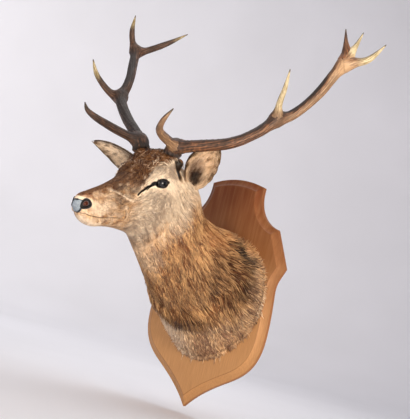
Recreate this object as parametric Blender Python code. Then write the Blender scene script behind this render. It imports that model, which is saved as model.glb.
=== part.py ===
"""Red deer stag head, mounted on a carved wooden wall shield.

Metres, +Z up. The shield's back lies on y = 0 and the stag looks along -Y, so the
stag's own left is +X. The origin is the point where the shield hangs on its wall.

The head is measured in its own axes (forward, left, up) from the point midway
between the eyes, and HEAD_POSE carries it into place. The neck is measured from
the shield. Both are rings of one loft, which is parted by thin cuts.
"""
import math

import bmesh
import bpy
from mathutils import Euler, Matrix, Vector

GAP = 0.0004            # thin cut between neighbouring solids
CLEARANCE = 0.0006      # the same where two curved faces meet

# --- the shield ---------------------------------------------------------------
BOARD_THICK = 0.022     # back to front face
BOARD_SIDE = 0.012      # height of the upright side, before the moulded edge
BOARD_EDGE = 0.023      # width of the moulded edge
TOP_Z = 0.102           # crown of the top edge
TOP_CORNER = (0.103, 0.085)
HOLLOW_CENTRE = (0.206, 0.070)   # the hollow between top corner and shoulder
SHOULDER = (0.191, -0.035)
EAR_CORNER = (0.247, -0.138)     # widest corner of the shield
WAIST = (0.226, -0.215)
BELLY = (0.234, -0.325)
CHEEK = (0.143, -0.482)
TIP_Z = -0.587

# --- the head: turned, nodded and tilted, eyes midway at HEAD_AT ----------------
HEAD_YAW = 12.2         # degrees, nose towards the stag's left
HEAD_PITCH = -16.6      # degrees, nose down
HEAD_ROLL = 1.2
HEAD_AT = Vector((-0.011, -0.383, -0.006))
HEAD_POSE = Matrix.Translation(HEAD_AT) @ (
    Euler((0.0, 0.0, math.radians(HEAD_YAW))).to_matrix().to_4x4()
    @ Euler((math.radians(-HEAD_PITCH), 0.0, 0.0)).to_matrix().to_4x4()
    @ Euler((0.0, math.radians(HEAD_ROLL), 0.0)).to_matrix().to_4x4()
)

# Head rings: (top forward, top up), (bottom forward, bottom up), half width,
# height of the widest level (-1 bottom to 1 top), squareness above and below it.
HEAD_RINGS = [
    ((0.2600, -0.0440), (0.2560, -0.0740), 0.0130, 0.00, 2.0, 2.0),
    ((0.2500, -0.0340), (0.2440, -0.0880), 0.0245, 0.00, 2.2, 2.1),
    ((0.2320, -0.0270), (0.2260, -0.1010), 0.0325, 0.05, 2.2, 2.2),
    ((0.2060, -0.0210), (0.2020, -0.1110), 0.0360, -0.05, 2.1, 2.3),
    ((0.1720, -0.0120), (0.1740, -0.1130), 0.0370, -0.15, 2.0, 2.2),
    ((0.1350, -0.0010), (0.1450, -0.1160), 0.0400, -0.15, 2.0, 2.1),
    ((0.0950, 0.0120), (0.1150, -0.1210), 0.0450, 0.00, 2.0, 2.0),
    ((0.0550, 0.0300), (0.0900, -0.1270), 0.0530, 0.18, 2.0, 1.9),
    ((0.0200, 0.0520), (0.0680, -0.1330), 0.0640, 0.30, 2.3, 1.8),
    ((-0.0150, 0.0700), (0.0480, -0.1400), 0.0695, 0.32, 2.5, 1.8),
    ((-0.0500, 0.0820), (0.0300, -0.1490), 0.0710, 0.30, 2.5, 1.9),
    ((-0.0900, 0.0820), (0.0150, -0.1600), 0.0730, 0.22, 2.3, 2.0),
    ((-0.1250, 0.0640), (0.0020, -0.1740), 0.0790, 0.10, 2.1, 2.0),
]

# Neck rings: (top y, top z), (bottom y, bottom z), half width, sideways place.
NECK_RINGS = [
    ((-0.2430, 0.0660), (-0.3260, -0.1910), 0.0870, -0.026),
    ((-0.2030, 0.0440), (-0.2920, -0.2240), 0.0990, -0.021),
    ((-0.1680, -0.0140), (-0.2460, -0.2640), 0.1075, -0.021),
    ((-0.1380, -0.0430), (-0.1900, -0.3120), 0.1280, -0.016),
    ((-0.1040, -0.0580), (-0.1290, -0.3630), 0.1560, -0.004),
    ((-0.0650, -0.0680), (-0.0710, -0.4150), 0.1890, 0.008),
    ((-0.0226, -0.0680), (-0.0226, -0.4460), 0.2040, 0.010),
]
NECK_WIDEST = 0.02      # neck rings are ovals, fuller above than below
NECK_ABOVE = 2.15
NECK_BELOW = 1.82
RING_SIDES = 28
RINGS_BETWEEN = 2       # loft rings laid between two named ones

# Thin cut between head and neck: behind the jaw and behind the poll.
PART_NAPE = (-0.118, 0.070)
PART_THROAT = (0.028, -0.152)

# --- eyes, in the head's axes ---------------------------------------------------
EYE_RADIUS = 0.0210
EYE_AT = (-0.009, 0.0560, -0.001)

# --- ears, in the head's axes ---------------------------------------------------
EAR_WIDTH = {1: 0.083, -1: 0.074}
EAR_FULL = {1: 1.0, -1: 0.75}    # below 1 the ear is widest nearer its root
EAR_THICK = 0.0055
EAR_ROOT = {1: (-0.128, 0.079, -0.016), -1: (-0.094, 0.050, 0.004)}
EAR_TIP = {1: (-0.126, 0.151, 0.113), -1: (-0.046, 0.220, 0.074)}
EAR_FACING = {1: (0.66, 0.70, -0.10), -1: (0.85, 0.20, -0.35)}
EAR_ROWS = 11
EAR_COLUMNS = 8

# --- antlers: centre line and radius, (x, y, z, r) ------------------------------
BEAM = {
    1: [(0.034, -0.340, 0.080, 0.0190), (0.044, -0.342, 0.100, 0.0175),
        (0.088, -0.325, 0.112, 0.0162), (0.170, -0.275, 0.140, 0.0150),
        (0.207, -0.225, 0.185, 0.0142), (0.229, -0.178, 0.239, 0.0160),
        (0.252, -0.152, 0.263, 0.0142), (0.277, -0.132, 0.299, 0.0132),
        (0.304, -0.118, 0.344, 0.0142), (0.327, -0.108, 0.393, 0.0148),
        (0.350, -0.100, 0.435, 0.0150)],
    -1: [(-0.066, -0.362, 0.082, 0.0188), (-0.080, -0.362, 0.105, 0.0172),
         (-0.129, -0.352, 0.139, 0.0162), (-0.192, -0.335, 0.177, 0.0160),
         (-0.263, -0.312, 0.228, 0.0160), (-0.304, -0.290, 0.264, 0.0168),
         (-0.315, -0.270, 0.301, 0.0146), (-0.339, -0.247, 0.344, 0.0138),
         (-0.383, -0.215, 0.405, 0.0142), (-0.414, -0.192, 0.453, 0.0135)],
}
BEAM_FORK = {1: 5, -1: 5}      # the beam parts at this knot, where the trez tine grows
BURR_FLARE = 0.0030            # the burr stands out round the foot of the beam
TINES = {
    "left_brow": [(0.044, -0.342, 0.103, 0.0130), (0.068, -0.410, 0.107, 0.0122),
                  (0.105, -0.468, 0.109, 0.0098), (0.136, -0.497, 0.118, 0.0078),
                  (0.153, -0.503, 0.135, 0.0058), (0.166, -0.497, 0.159, 0.0014)],
    "right_brow": [(-0.080, -0.362, 0.105, 0.0132), (-0.096, -0.425, 0.111, 0.0118),
                   (-0.102, -0.475, 0.117, 0.0110), (-0.103, -0.520, 0.123, 0.0092),
                   (-0.107, -0.547, 0.133, 0.0062), (-0.114, -0.556, 0.151, 0.0014)],
    "left_trez": [(0.228, -0.180, 0.243, 0.0115), (0.250, -0.207, 0.280, 0.0084),
                  (0.280, -0.235, 0.312, 0.0062), (0.305, -0.262, 0.353, 0.0014)],
    "right_trez": [(-0.302, -0.294, 0.258, 0.0125), (-0.322, -0.318, 0.263, 0.0104),
                   (-0.338, -0.350, 0.285, 0.0086), (-0.341, -0.378, 0.307, 0.0068),
                   (-0.334, -0.406, 0.337, 0.0014)],
    "left_crown_front": [(0.349, -0.100, 0.432, 0.0110), (0.346, -0.105, 0.468, 0.0086),
                         (0.345, -0.125, 0.521, 0.0014)],
    "left_crown_middle": [(0.351, -0.100, 0.434, 0.0105), (0.359, -0.092, 0.466, 0.0084),
                          (0.368, -0.075, 0.531, 0.0014)],
    "left_crown_rear": [(0.350, -0.102, 0.428, 0.0120), (0.372, -0.090, 0.437, 0.0112),
                        (0.401, -0.066, 0.458, 0.0088), (0.425, -0.040, 0.508, 0.0014)],
    "right_crown_front": [(-0.413, -0.192, 0.450, 0.0120), (-0.431, -0.200, 0.478, 0.0094),
                          (-0.431, -0.216, 0.515, 0.0080), (-0.409, -0.236, 0.556, 0.0014)],
    "right_crown_rear": [(-0.411, -0.191, 0.450, 0.0120), (-0.396, -0.167, 0.463, 0.0104),
                         (-0.352, -0.128, 0.502, 0.0086), (-0.318, -0.080, 0.554, 0.0014)],
}
ANTLER_SIDES = 10
ANTLER_STEPS = 3        # rings from one knot to the next
PEDICLE_RADIUS = 0.0195
PEDICLE_DEPTH = 0.030   # how far the bony stalk runs down into the head

# colour (sRGB 0 to 1), roughness, metallic
FINISHES = {
    "hide": ((0.56, 0.43, 0.29), 0.85, 0.0),
    "ear_hide": ((0.70, 0.60, 0.45), 0.85, 0.0),
    "antler": ((0.38, 0.27, 0.18), 0.55, 0.0),
    "eye_glass": ((0.03, 0.02, 0.02), 0.08, 0.0),
    "varnished_wood": ((0.60, 0.33, 0.16), 0.40, 0.0),
}


def clear_scene():
    for item in list(bpy.data.objects):
        bpy.data.objects.remove(item, do_unlink=True)


def finish(name):
    """One Principled material for each finish."""
    found = bpy.data.materials.get(name)
    if found:
        return found
    colour, roughness, metallic = FINISHES[name]
    made = bpy.data.materials.new(name)
    made.use_nodes = True
    shader = made.node_tree.nodes["Principled BSDF"]
    shader.inputs["Base Color"].default_value = [c ** 2.2 for c in colour] + [1.0]
    shader.inputs["Roughness"].default_value = roughness
    shader.inputs["Metallic"].default_value = metallic
    made.diffuse_color = [*colour, 1.0]
    return made


def add_object(name, mesh, finish_name):
    item = bpy.data.objects.new(name, mesh)
    bpy.context.collection.objects.link(item)
    item.data.materials.append(finish(finish_name))
    return item


def mesh_from(bm, name):
    bmesh.ops.recalc_face_normals(bm, faces=bm.faces)
    mesh = bpy.data.meshes.new(name)
    bm.to_mesh(mesh)
    bm.free()
    return mesh


def curve_at(knots, place):
    """Catmull-Rom value of a list of equal tuples at a place measured in knots."""
    last = len(knots) - 1
    i = min(int(place), last - 1)
    t = place - i
    before, start, end, after = (knots[min(max(j, 0), last)] for j in range(i - 1, i + 3))
    return [
        0.5 * (2 * b + (c - a) * t + (2 * a - 5 * b + 4 * c - d) * t * t
               + (3 * b - a - 3 * c + d) * t ** 3)
        for a, b, c, d in zip(before, start, end, after)
    ]


def resample(knots, between):
    count = (len(knots) - 1) * (between + 1)
    return [curve_at(knots, k / (between + 1)) for k in range(count + 1)]


def loft(rings, name, start_tip=None, end_tip=None):
    """A closed mesh through rings of points, ended flat or on a tip."""
    bm = bmesh.new()
    loops = [[bm.verts.new(point) for point in ring] for ring in rings]
    for near, far in zip(loops, loops[1:]):
        for k in range(len(near)):
            nxt = (k + 1) % len(near)
            bm.faces.new((near[k], near[nxt], far[nxt], far[k]))
    for ring, tip in ((loops[0], start_tip), (loops[-1], end_tip)):
        apex = bm.verts.new(tip or ring_middle([v.co for v in ring]))
        for k in range(len(ring)):
            bm.faces.new((ring[k], ring[(k + 1) % len(ring)], apex))
    return mesh_from(bm, name)


def head_point(forward, left, up):
    return HEAD_POSE @ Vector((left, -forward, up))


# --- body: head and neck in one loft, then parted ---------------------------------
def ring_frame_of_head(ring):
    (top_f, top_u), (low_f, low_u), half, widest, above, below = ring
    top = head_point(top_f, 0.0, top_u)
    low = head_point(low_f, 0.0, low_u)
    side = (HEAD_POSE.to_3x3() @ Vector((1.0, 0.0, 0.0))) * half
    return [*top, *low, *side, widest, above, below]


def ring_frame_of_neck(ring):
    (top_y, top_z), (low_y, low_z), half, across = ring
    top = Vector((across, top_y, top_z))
    low = Vector((across * 0.6, low_y, low_z))
    return [*top, *low, half, 0.0, 0.0, NECK_WIDEST, NECK_ABOVE, NECK_BELOW]


def body_ring(frame):
    """Points of one ring: two half ovals that meet at the widest level."""
    top, low, side = Vector(frame[0:3]), Vector(frame[3:6]), Vector(frame[6:9])
    widest, above, below = frame[9:12]
    middle = (top + low) / 2 + (top - low) / 2 * widest
    points = []
    for k in range(RING_SIDES):
        angle = 2 * math.pi * k / RING_SIDES
        c, s = math.cos(angle), math.sin(angle)
        square = above if c > 0 else below
        height = math.copysign(abs(c) ** (2 / square), c)
        width = math.copysign(abs(s) ** (2 / square), s)
        reach = (top - middle) if c > 0 else (middle - low)
        points.append(middle + reach * height + side * width)
    return points


def body_mesh():
    frames = [ring_frame_of_head(r) for r in HEAD_RINGS]
    frames += [ring_frame_of_neck(r) for r in NECK_RINGS]
    rings = [body_ring(f) for f in resample(frames, RINGS_BETWEEN)]
    return loft(rings, "body", start_tip=head_point(0.2640, 0.0, -0.059))


def parted(mesh, point, normal, name):
    """The part of a closed mesh on the side that normal points to, closed again."""
    bm = bmesh.new()
    bm.from_mesh(mesh)
    geometry = bm.verts[:] + bm.edges[:] + bm.faces[:]
    bmesh.ops.bisect_plane(
        bm, geom=geometry, plane_co=point, plane_no=normal, clear_inner=True
    )
    rim = [edge for edge in bm.edges if edge.is_boundary]
    bmesh.ops.edgeloop_fill(bm, edges=rim)
    bmesh.ops.triangulate(bm, faces=[f for f in bm.faces if len(f.verts) > 4])
    return mesh_from(bm, name)


# --- swept tubes -------------------------------------------------------------------
def tube_rings(path, extra=0.0):
    """Round rings square to a path of (x, y, z, r), turned as little as possible."""
    points = [Vector(p[:3]) for p in path]
    rings = []
    side = None
    for k, point in enumerate(points):
        along = (points[min(k + 1, len(points) - 1)] - points[max(k - 1, 0)]).normalized()
        if side is None:
            side = along.orthogonal()
        side = (side - along * side.dot(along)).normalized()
        other = along.cross(side)
        radius = path[k][3] + extra
        rings.append([
            point + (side * math.cos(a) + other * math.sin(a)) * radius
            for a in (2 * math.pi * i / ANTLER_SIDES for i in range(ANTLER_SIDES))
        ])
    return rings


def beam_path(side):
    """Resampled beam with the burr's flare round its foot."""
    path = resample(BEAM[side], ANTLER_STEPS - 1)
    foot = Vector(path[0][:3])
    for p in path:
        rise = (Vector(p[:3]) - foot).length
        p[3] += BURR_FLARE * math.exp(-((rise / 0.009) ** 2))
    return path


def ring_middle(ring):
    return sum(ring, Vector()) / len(ring)


def moved_towards(ring, other, by):
    """A ring slid towards another one (by > 0) or away from it."""
    step = (ring_middle(other) - ring_middle(ring)).normalized() * by
    return [point + step for point in ring]


def beam_clearance(path):
    """The whole beam, larger by the thin cut all over, to cut its neighbours with."""
    rings = tube_rings(path, GAP)
    first = moved_towards(rings[0], rings[1], -GAP)
    last = moved_towards(rings[-1], rings[-2], -GAP)
    return loft([first, *rings[1:-1], last], "beam_clear")


def tine_mesh(path, name, extra=0.0):
    rings = tube_rings(path, extra)
    last = Vector(path[-1][:3])
    tip = last + (last - Vector(path[-2][:3])).normalized() * (0.002 + extra)
    return loft(rings, name, end_tip=tip)


# --- joining and cutting solids ----------------------------------------------------
def combine(item, others, operation):
    """Cut an object by others, or unite it with them, for good with the exact solver."""
    for other in others:
        modifier = item.modifiers.new("combine", "BOOLEAN")
        modifier.operation = operation
        modifier.solver = "EXACT"
        modifier.object = other
    bpy.context.view_layer.update()
    graph = bpy.context.evaluated_depsgraph_get()
    solid = bpy.data.meshes.new_from_object(item.evaluated_get(graph))
    item.modifiers.clear()
    item.data = solid


def remove_all(items):
    for item in items:
        bpy.data.objects.remove(item, do_unlink=True)


# --- the pieces --------------------------------------------------------------------
def arc(centre, start, end, steps):
    """Points round a centre from start towards end, both on the circle."""
    cx, cz = centre
    first = math.atan2(start[1] - cz, start[0] - cx) % (2 * math.pi)
    last = math.atan2(end[1] - cz, end[0] - cx) % (2 * math.pi)
    radius = math.hypot(start[0] - cx, start[1] - cz)
    angles = (first + (last - first) * k / steps for k in range(steps + 1))
    return [(cx + radius * math.cos(a), cz + radius * math.sin(a)) for a in angles]


def bezier(a, b, c, d, steps):
    points = []
    for k in range(steps + 1):
        t = k / steps
        weights = ((1 - t) ** 3, 3 * t * (1 - t) ** 2, 3 * t * t * (1 - t), t ** 3)
        points.append(tuple(sum(w * p[i] for w, p in zip(weights, (a, b, c, d))) for i in (0, 1)))
    return points


def shield_half():
    """The shield's outline from its top centre down the +X side to its tip."""
    rise = TOP_Z - TOP_CORNER[1]
    radius = (TOP_CORNER[0] ** 2 + rise ** 2) / (2 * rise)
    top = arc((0.0, TOP_Z - radius), (0.0, TOP_Z), TOP_CORNER, 4)
    hollow = arc(HOLLOW_CENTRE, (TOP_CORNER[0], HOLLOW_CENTRE[1]), SHOULDER, 7)
    side = [SHOULDER, EAR_CORNER]
    waist = bezier(EAR_CORNER, (0.232, -0.172), (0.222, -0.180), WAIST, 4)
    belly = bezier(WAIST, (0.230, -0.250), (0.234, -0.285), BELLY, 4)
    cheek = bezier(BELLY, (0.236, -0.410), (0.205, -0.447), CHEEK, 7)
    tip = bezier(CHEEK, (0.075, -0.520), (0.035, -0.548), (0.0, TIP_Z), 6)
    outline = []
    for run in (top, hollow, side, waist, belly, cheek, tip):
        outline += run if not outline else run[1:] if outline[-1] == run[0] else run
    return outline


def make_board():
    half = shield_half()
    outline = half + [(-x, z) for x, z in reversed(half[1:-1])]
    bm = bmesh.new()
    back = bm.faces.new([bm.verts.new((x, 0.0, z)) for x, z in outline])
    raised = bmesh.ops.extrude_face_region(bm, geom=[back])["geom"]
    bmesh.ops.translate(
        bm, vec=(0.0, -BOARD_SIDE, 0.0), verts=[v for v in raised if isinstance(v, bmesh.types.BMVert)]
    )
    front = [f for f in raised if isinstance(f, bmesh.types.BMFace)]
    bmesh.ops.recalc_face_normals(bm, faces=bm.faces)
    bmesh.ops.inset_region(
        bm, faces=front, thickness=BOARD_EDGE, use_even_offset=True, use_boundary=True
    )
    bmesh.ops.translate(
        bm, vec=(0.0, BOARD_SIDE - BOARD_THICK, 0.0), verts=list(front[0].verts)
    )
    return add_object("board", mesh_from(bm, "board"), "varnished_wood")


def eye_spot(side):
    forward, left, up = EYE_AT
    return head_point(forward, left * side, up)


def eye_ball(name, side, radius):
    bm = bmesh.new()
    bmesh.ops.create_uvsphere(bm, u_segments=16, v_segments=10, radius=radius)
    bmesh.ops.rotate(bm, cent=(0, 0, 0), matrix=Euler((0, math.pi / 2, 0)).to_matrix(), verts=bm.verts)
    bmesh.ops.translate(bm, vec=eye_spot(side), verts=bm.verts)
    return add_object(name, mesh_from(bm, name), "eye_glass")


def ear_point(side, along, across, lift):
    """A point of the cupped ear: along 0 root to 1 tip, across -1 to 1, lift outwards."""
    root = head_point(EAR_ROOT[side][0], side * EAR_ROOT[side][1], EAR_ROOT[side][2])
    tip = head_point(EAR_TIP[side][0], side * EAR_TIP[side][1], EAR_TIP[side][2])
    facing = EAR_FACING[side]
    face = HEAD_POSE.to_3x3() @ Vector((side * facing[1], -facing[0], facing[2]))
    axis = tip - root
    face = (face - axis.normalized() * face.dot(axis.normalized())).normalized()
    wide = axis.normalized().cross(face) * side
    swell = math.sin(math.pi * min(1.0, along ** EAR_FULL[side] * 0.97 + 0.03)) ** 0.62
    half = EAR_WIDTH[side] / 2 * max(swell, 0.10)
    curl = math.radians(74 - 38 * along)
    bend = across * curl
    depth = half / math.sin(curl)
    spot = root + axis * along
    spot += wide * (depth * math.sin(bend))
    spot += face * (depth * (1 - math.cos(bend)) - depth * 0.42)
    outward = face * -math.cos(bend) + wide * math.sin(bend)
    return spot + outward * lift


def make_ear(name, side):
    """A cupped leaf with a rim: an inner and an outer skin, stitched round."""
    bm = bmesh.new()
    skins = []
    for lift in (0.0, 1.0):
        rows = []
        for i in range(EAR_ROWS + 1):
            along = i / EAR_ROWS
            thick = EAR_THICK * (1.0 - 0.45 * along) * lift
            rows.append([
                bm.verts.new(ear_point(side, along, 2 * j / EAR_COLUMNS - 1, thick))
                for j in range(EAR_COLUMNS + 1)
            ])
        skins.append(rows)
    for rows in skins:
        for near, far in zip(rows, rows[1:]):
            for j in range(EAR_COLUMNS):
                bm.faces.new((near[j], near[j + 1], far[j + 1], far[j]))
    inner, outer = skins
    rims = [
        [row[0] for row in inner], [row[0] for row in outer],
        [row[-1] for row in inner], [row[-1] for row in outer],
        inner[0], outer[0], inner[-1], outer[-1],
    ]
    for a, b in zip(rims[::2], rims[1::2]):
        for j in range(len(a) - 1):
            bm.faces.new((a[j], a[j + 1], b[j + 1], b[j]))
    return add_object(name, mesh_from(bm, name), "ear_hide")


def make_antler(side):
    """Beam in two lengths, then each tine cut clear of what it grows from."""
    word = "left" if side > 0 else "right"
    path = beam_path(side)
    rings = tube_rings(path)
    fork = BEAM_FORK[side] * ANTLER_STEPS
    upper_start = moved_towards(rings[fork], rings[fork + 1], GAP)
    lengths = {"lower": rings[:fork + 1], "upper": [upper_start, *rings[fork + 1:]]}
    for part, run in lengths.items():
        name = f"antler_{word}_{part}_beam"
        add_object(name, loft(run, name), "antler")
    grown = [add_object("beam_clear", beam_clearance(path), "antler")]
    for tine, knots in TINES.items():
        if not tine.startswith(word):
            continue
        name = "antler_" + tine
        run = resample(knots, ANTLER_STEPS - 1)
        item = add_object(name, tine_mesh(run, name), "antler")
        combine(item, grown, "DIFFERENCE")
        wide = tine_mesh(run, name + "_clear", GAP)
        grown.append(add_object(name + "_clear", wide, "antler"))
    return grown


def add_pedicles(head):
    """The bony stalks that carry the antlers, covered by the hide of the head."""
    for side in (1, -1):
        foot = Vector(BEAM[side][0][:3])
        along = (Vector(BEAM[side][1][:3]) - foot).normalized()
        path = [
            [*(foot - along * PEDICLE_DEPTH), PEDICLE_RADIUS],
            [*(foot - along * GAP), PEDICLE_RADIUS],
        ]
        stalk = add_object("stalk", loft(tube_rings(path), "stalk"), "hide")
        combine(head, [stalk], "UNION")
        remove_all([stalk])


def make_animal():
    body = body_mesh()
    nape = head_point(PART_NAPE[0], 0.0, PART_NAPE[1])
    throat = head_point(PART_THROAT[0], 0.0, PART_THROAT[1])
    sideways = HEAD_POSE.to_3x3() @ Vector((1.0, 0.0, 0.0))
    forward = (throat - nape).cross(sideways).normalized()
    if forward.y > 0:
        forward.negate()
    head = add_object("head", parted(body, nape, forward, "head"), "hide")
    behind = nape - forward * GAP
    neck = add_object("neck", parted(body, behind, -forward, "neck"), "hide")
    add_pedicles(head)
    antler_room = []
    for side in (1, -1):
        antler_room += make_antler(side)
    combine(head, antler_room, "DIFFERENCE")
    remove_all(antler_room)
    for word, side in (("left", 1), ("right", -1)):
        eye_ball("eye_" + word, side, EYE_RADIUS)
        socket = eye_ball("socket", side, EYE_RADIUS + GAP)
        combine(head, [socket], "DIFFERENCE")
        remove_all([socket])
    return head, neck


def clearance_copy(item):
    """A copy of a solid with every face moved out by the thin cut."""
    bm = bmesh.new()
    bm.from_mesh(item.data)
    bm.normal_update()
    moves = [(v, v.normal * CLEARANCE) for v in bm.verts]
    for vertex, step in moves:
        vertex.co += step
    return add_object(item.name + "_clear", mesh_from(bm, item.name), "hide")


def main():
    clear_scene()
    make_board()
    head, neck = make_animal()
    room = [clearance_copy(head), clearance_copy(neck)]
    for word, side in (("left", 1), ("right", -1)):
        ear = make_ear("ear_" + word, side)
        combine(ear, room, "DIFFERENCE")
    remove_all(room)


main()
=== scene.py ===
"""Dressing of the red deer stag's head on its wall shield: hide, coat, eyes, antlers, wood.

Metres, +Z up. The shield's back lies on y = 0 and the stag looks along -Y, so the stag's
own left is +X. Head features are given as (forward, left, up) from midway between the eyes.
"""
import logging
import math
from dataclasses import dataclass, field, replace
from enum import Enum
from typing import Any, Callable

import bpy
import numpy as np
from mathutils import Matrix, Vector

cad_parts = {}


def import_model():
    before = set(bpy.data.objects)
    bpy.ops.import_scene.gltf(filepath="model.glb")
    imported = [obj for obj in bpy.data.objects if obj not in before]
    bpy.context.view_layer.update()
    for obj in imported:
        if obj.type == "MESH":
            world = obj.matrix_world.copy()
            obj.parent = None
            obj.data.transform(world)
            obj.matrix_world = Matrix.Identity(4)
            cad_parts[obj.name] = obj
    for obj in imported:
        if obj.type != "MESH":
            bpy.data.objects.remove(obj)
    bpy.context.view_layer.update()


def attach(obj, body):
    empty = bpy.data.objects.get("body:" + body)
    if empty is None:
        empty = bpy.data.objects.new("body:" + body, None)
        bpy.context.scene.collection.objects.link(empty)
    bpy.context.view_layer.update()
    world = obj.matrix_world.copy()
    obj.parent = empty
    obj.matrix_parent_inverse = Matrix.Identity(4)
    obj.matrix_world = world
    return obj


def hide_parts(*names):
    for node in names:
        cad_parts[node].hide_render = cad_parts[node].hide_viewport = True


LOG = logging.getLogger("stag")
Array = np.ndarray
Thing = bpy.types.Object
Material = bpy.types.Material
Tree = bpy.types.NodeTree
Socket = bpy.types.NodeSocket
Spot = tuple[float, float]
Place = tuple[float, float, float]
Knots = tuple[tuple[float, float, float, float], ...]
COAT_MASKS = ("cream", "brown", "black", "rust")
# more than any distance, or share of a width, that matters
FAR = 9.0


class Side(Enum):
    """The stag's own left and right."""

    LEFT = 1
    RIGHT = -1

    @property
    def word(self) -> str:
        """Return the word used in names."""
        return self.name.lower()


# --- numbers ------------------------------------------------------------------------
def turn(axis: str, degrees: float) -> Array:
    """Return a 3 x 3 rotation about a world axis."""
    return np.array(Matrix.Rotation(math.radians(degrees), 3, axis))


HEAD_AT = np.array([-0.011, -0.383, -0.006])
HEAD_TURN = turn("Z", 12.2) @ turn("X", 16.6) @ turn("Y", 1.2)


def from_head(points: Any) -> Array:
    """Return world points for (forward, left, up) ones."""
    p = np.asarray(points, float)
    return HEAD_AT + np.stack([p[..., 1], -p[..., 0], p[..., 2]], -1) @ HEAD_TURN.T


def to_head(points: Any) -> Array:
    """Return (forward, left, up) for world points."""
    p = (np.asarray(points, float) - HEAD_AT) @ HEAD_TURN
    return np.stack([-p[..., 1], p[..., 0], p[..., 2]], -1)


def unit(vectors: Array) -> Array:
    """Return vectors at length one."""
    return vectors / np.maximum(np.linalg.norm(vectors, axis=-1, keepdims=True), 1e-12)


def ease(low: float, high: float, value: Any) -> Array:
    """Return a smooth step from 0 at low to 1 at high."""
    t = np.clip((np.asarray(value, float) - low) / (high - low), 0.0, 1.0)
    return t * t * (3.0 - 2.0 * t)


def bell(value: Array, width: float, power: int = 2) -> Array:
    """Return 1 at 0, falling off smoothly past a width, squarer for a higher power."""
    return np.exp(-(value / width) ** power)


def catmull(knots: Any, place: Array) -> Array:
    """Return Catmull-Rom values of rows of numbers.

    Args:
        knots: Rows of equal length.
        place: Where to read, counted in rows.

    Returns:
        One row for each place.
    """
    k = np.asarray(knots, float)
    last = len(k) - 1
    i = np.clip(place.astype(int), 0, last - 1)
    t = (place - i)[:, None]
    a, b, c, d = k[np.maximum(i - 1, 0)], k[i], k[i + 1], k[np.minimum(i + 2, last)]
    return 0.5 * (2 * b + (c - a) * t + (2 * a - 5 * b + 4 * c - d) * t**2
                  + (3 * b - a - 3 * c + d) * t**3)


def ripple(points: Array, size: float, seed: int, count: int = 7) -> Array:
    """Make smooth noise with features of a real size.

    Args:
        points: Where to read it, rows of numbers.
        size: Width of a feature.
        seed: Which pattern.
        count: How many waves are summed.

    Returns:
        Values of about -1 to 1.
    """
    rng = np.random.default_rng(seed)
    total = np.zeros(points.shape[:-1])
    for _ in range(count):
        way = rng.normal(size=points.shape[-1])
        way *= math.pi * rng.uniform(0.55, 1.5) / size / np.linalg.norm(way)
        total += np.sin(points @ way + rng.uniform(0, 6.3))
    return total / math.sqrt(count / 1.4)


def line_distance(points: Array, path: Any, judge: Callable[..., Array] | None = None) -> Array:
    """Measure points against a line.

    Args:
        points: Rows of as many numbers as the line has axes.
        path: The line's corners. A further number in each is its radius there.
        judge: Turns distance and radius into the value wanted, or None for the distance.

    Returns:
        The least value over the line.
    """
    p, axes = np.asarray(path, float), points.shape[-1]
    best = np.full(points.shape[:-1], FAR)
    for a, b in zip(p, p[1:]):
        ab = b[:axes] - a[:axes]
        t = np.clip(((points - a[:axes]) @ ab) / (ab @ ab), 0, 1)
        away = np.linalg.norm(points - a[:axes] - t[..., None] * ab, axis=-1)
        best = np.minimum(best, judge(away, a[-1] + (b[-1] - a[-1]) * t) if judge else away)
    return best


def gaps_of(line: Array) -> Array:
    """Return the distances between the points of a line."""
    return np.linalg.norm(np.diff(line, axis=0), axis=1)


def run_of(line: Array) -> Array:
    """Return how far along a line each of its points lies."""
    return np.r_[0, np.cumsum(gaps_of(line))]


def read_line(at: Array, run: Array, line: Array) -> Array:
    """Return the rows of a line at other places along it."""
    return np.stack([np.interp(at, run, column) for column in line.T], -1)


def linear(code: str) -> tuple[float, ...]:
    """Return a linear colour for an sRGB hex code."""
    parts = (int(code[i:i + 2], 16) / 255 for i in (1, 3, 5))
    return (*(c / 12.92 if c <= 0.04045 else ((c + 0.055) / 1.055) ** 2.4 for c in parts), 1.0)


# --- meshes ---------------------------------------------------------------------------
def link(name: str, data: Any) -> Thing:
    """Put a mesh, lamp or camera in the scene.

    Args:
        name: Name of the object.
        data: What it shows.

    Returns:
        The object.
    """
    item = bpy.data.objects.new(name, data)
    bpy.context.scene.collection.objects.link(item)
    return item


def make_mesh(name: str, verts: Array, faces: Array) -> Thing:
    """Make a smooth piece from vertex and face tables.

    Args:
        name: Name of the piece.
        verts: N x 3 points.
        faces: M x 3 or M x 4 vertex numbers.

    Returns:
        The piece.
    """
    mesh = bpy.data.meshes.new(name)
    count, sides = faces.shape
    mesh.vertices.add(len(verts))
    mesh.vertices.foreach_set("co", np.ascontiguousarray(verts, np.float32).ravel())
    mesh.loops.add(count * sides)
    mesh.loops.foreach_set("vertex_index", np.ascontiguousarray(faces, np.int32).ravel())
    mesh.polygons.add(count)
    mesh.polygons.foreach_set("loop_start", np.arange(0, count * sides, sides, dtype=np.int32))
    mesh.update(calc_edges=True)
    mesh.polygons.foreach_set("use_smooth", np.full(count, True))
    return link(name, mesh)


def paint(item: Thing, values: dict[str, Array]) -> None:
    """Store numbers on a piece.

    Args:
        item: The piece.
        values: One number for each vertex under each name.
    """
    for name, numbers in values.items():
        layer = item.data.attributes.new(name, "FLOAT", "POINT")
        layer.data.foreach_set("value", np.ascontiguousarray(numbers, np.float32).ravel())


def map_flat(item: Thing, places: Array) -> None:
    """Give a piece the OFBake map.

    Args:
        item: The piece.
        places: One (u, v) for each vertex.
    """
    mesh = item.data
    corner = np.empty(len(mesh.loops), np.int32)
    mesh.loops.foreach_get("vertex_index", corner)
    layer = mesh.uv_layers.new(name="OFBake")
    layer.data.foreach_set("uv", np.ascontiguousarray(places[corner], np.float32).ravel())


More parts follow.
